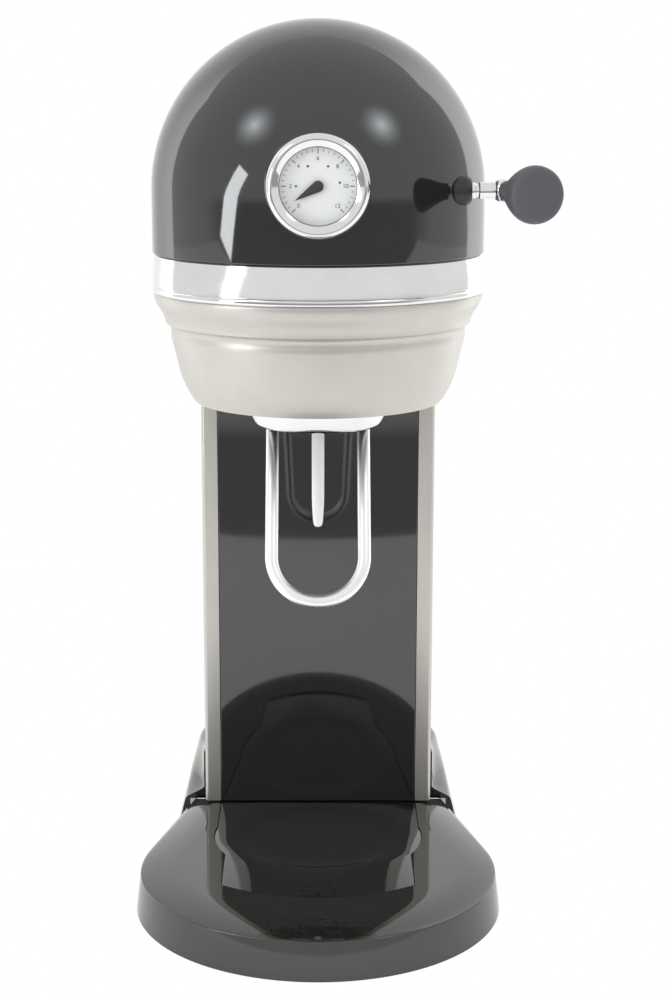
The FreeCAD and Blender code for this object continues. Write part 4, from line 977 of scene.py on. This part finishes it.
def soft_card(name, centre, size, glow, strength, target):
    """A soft round glow facing target. The camera doesn't see it and light passes through."""
    material = bpy.data.materials.new(name)
    material.use_nodes = True
    tree = material.node_tree
    tree.nodes.remove(tree.nodes["Principled BSDF"])
    place = node(tree, "TexCoord")
    fade = node(tree, "TexGradient", gradient_type="QUADRATIC_SPHERE")
    gain = node(tree, "Math", {1: strength}, operation="MULTIPLY")
    spread = node(tree, "Mapping")
    spread.inputs["Scale"].default_value = (1 / size,) * 3
    lamp = node(tree, "Emission", {"Color": (*glow, 1)})
    clear = node(tree, "BsdfTransparent")
    both = node(tree, "AddShader")
    wire_up(tree, (place, "Object", spread, "Vector"), (spread, 0, fade, 0),
                  (fade, "Fac", gain, 0), (gain, 0, lamp, "Strength"), (lamp, 0, both, 0),
                  (clear, 0, both, 1), (both, 0, tree.nodes["Material Output"], "Surface"))
    card = stage_plane(name, [(x, y, 0) for y in (-size, size) for x in (-size, size)], material)
    aim = Vector(target) - Vector(centre)
    card.matrix_world = (Matrix.Translation(centre)
                         @ aim.to_track_quat("Z", "Y").to_matrix().to_4x4())
    card.visible_camera = False


def brighten_sides(material, middle):
    """Lets a backdrop glow more towards its two ends."""
    tree = material.node_tree
    place = node(tree, "TexCoord")
    part = node(tree, "SeparateXYZ")
    offset = node(tree, "Math", {1: middle}, operation="SUBTRACT")
    away = node(tree, "Math", operation="ABSOLUTE")
    level = node(tree, "MapRange", {"From Min": 0.25, "From Max": 0.85, "To Min": 1.1,
                                    "To Max": 2.3}, interpolation_type="SMOOTHSTEP")
    wire_up(tree, (place, "Object", part, 0), (part, "X", offset, 0), (offset, 0, away, 0),
                  (away, 0, level, "Value"),
                  (level, 0, tree.nodes["Principled BSDF"], "Emission Strength"))


def make_world():
    """Even room light, darker low down in front of the object, and white behind the stage."""
    world = bpy.data.worlds.new("studio")
    bpy.context.scene.world = world
    world.use_nodes = True
    tree = world.node_tree
    room = tree.nodes["Background"]
    place = node(tree, "TexCoord")
    part = node(tree, "SeparateXYZ")
    front = node(tree, "MapRange", {"From Min": -0.1, "From Max": -0.45},
                 interpolation_type="SMOOTHSTEP")
    below = node(tree, "MapRange", {"From Min": -0.03, "From Max": -0.06},
                 interpolation_type="SMOOTHSTEP")
    both = node(tree, "Math", operation="MULTIPLY")
    level = node(tree, "MapRange", {"To Min": 0.95, "To Max": 0.40})
    seen = node(tree, "Background", {"Color": (1, 1, 1, 1), "Strength": 1.0})
    path = node(tree, "LightPath")
    mix = node(tree, "MixShader")
    room.inputs["Color"].default_value = (1.0, 0.995, 0.97, 1)
    wire_up(tree, (place, "Generated", part, 0), (part, "Y", front, "Value"),
                  (part, "Z", below, "Value"), (front, 0, both, 0), (below, 0, both, 1),
                  (both, 0, level, "Value"), (level, 0, room, "Strength"),
                  (path, "Is Camera Ray", mix, 0), (room, 0, mix, 1), (seen, 0, mix, 2),
                  (mix, 0, tree.nodes["World Output"], "Surface"))


class CARBONATOR_OT_stage(bpy.types.Operator):
    """Pale floor, white backdrop, a window, two soft lights and the camera"""
    bl_idname = "carbonator.stage"
    bl_label = "Stage"

    def execute(self, context):
        scene = context.scene
        scene.view_settings.view_transform = "Standard"
        make_world()
        floor = stage_material("floor_paper", (1, 1, 1), (0.70, 0.70, 0.69), 0.5)
        edge, wide = -0.7, 2
        table = stage_plane("floor", [(-wide, edge, 0), (wide, edge, 0), (-wide, wide, 0),
                                      (wide, wide, 0)], floor)
        paper = stage_material("backdrop_paper", (1, 1, 1), (0, 0, 0), 1.2)
        left, right, behind, tall = -1.0, 0.78, 0.45, 1.1
        brighten_sides(paper, (left + right) / 2)
        back = stage_plane("backdrop", [(left, behind, 0), (right, behind, 0),
                                        (left, behind, tall), (right, behind, tall)], paper)
        for side in (-1, 1):
            soft_card(f"soft_light_{'left' if side < 0 else 'right'}",
                      (side * 0.60, -0.46, 0.96), 0.27, (0.86, 0.93, 1.0), 5.5, (0, 0, 0.36))
        window = stage_material("window_light", (0.95, 0.98, 1.0), (0, 0, 0), 9.0)
        pane = stage_plane("window", [(-0.867, -0.369, 0.193), (-0.821, -0.487, 0.113),
                                      (-0.751, -0.549, 0.598), (-0.705, -0.667, 0.518)], window)
        for item in (table, back, pane):
            item.visible_camera = False
        view = bpy.data.cameras.new("camera")
        view.lens, view.sensor_width, view.shift_x = 70.06, 36.0, 0.015
        camera = bpy.data.objects.new("camera", view)
        scene.collection.objects.link(camera)
        camera.location = (0, -0.906, 0.3856)
        camera.rotation_euler = (math.radians(90 - 12.12), 0, 0)
        scene.camera = camera
        return {"FINISHED"}


# ---------------------------------------------------------------- add-on

PIECES = (CARBONATOR_OT_dome, CARBONATOR_OT_band, CARBONATOR_OT_collar, CARBONATOR_OT_base,
          CARBONATOR_OT_shoe, CARBONATOR_OT_tray, CARBONATOR_OT_column, CARBONATOR_OT_gauge,
          CARBONATOR_OT_lever, CARBONATOR_OT_carrier, CARBONATOR_OT_inside, CARBONATOR_OT_stage)


class CARBONATOR_PT_panel(bpy.types.Panel):
    """Lists the carbonator's pieces, sizes and colours"""
    bl_idname = "CARBONATOR_PT_panel"
    bl_label = "Soda carbonator"
    bl_space_type = "VIEW_3D"
    bl_region_type = "UI"
    bl_category = "Carbonator"

    def draw(self, context):
        for piece in PIECES:
            self.layout.operator(piece.bl_idname)
        for settings in (context.scene.carbonator_sizes, context.scene.carbonator_colours):
            for key in settings.bl_rna.properties.keys():
                if key not in ("rna_type", "name"):
                    self.layout.prop(settings, key)


CLASSES = (CarbonatorSizes, CarbonatorColours, *PIECES, CARBONATOR_PT_panel)


def register():
    for cls in CLASSES:
        bpy.utils.register_class(cls)
    bpy.types.Scene.carbonator_sizes = bpy.props.PointerProperty(type=CarbonatorSizes)
    bpy.types.Scene.carbonator_colours = bpy.props.PointerProperty(type=CarbonatorColours)


def unregister():
    del bpy.types.Scene.carbonator_colours
    del bpy.types.Scene.carbonator_sizes
    for cls in reversed(CLASSES):
        bpy.utils.unregister_class(cls)


def main():
    """Builds every piece and the stage."""
    register()
    for piece in PIECES:
        getattr(bpy.ops.carbonator, piece.bl_idname.split(".")[1])()


if __name__ == "__main__":
    main()
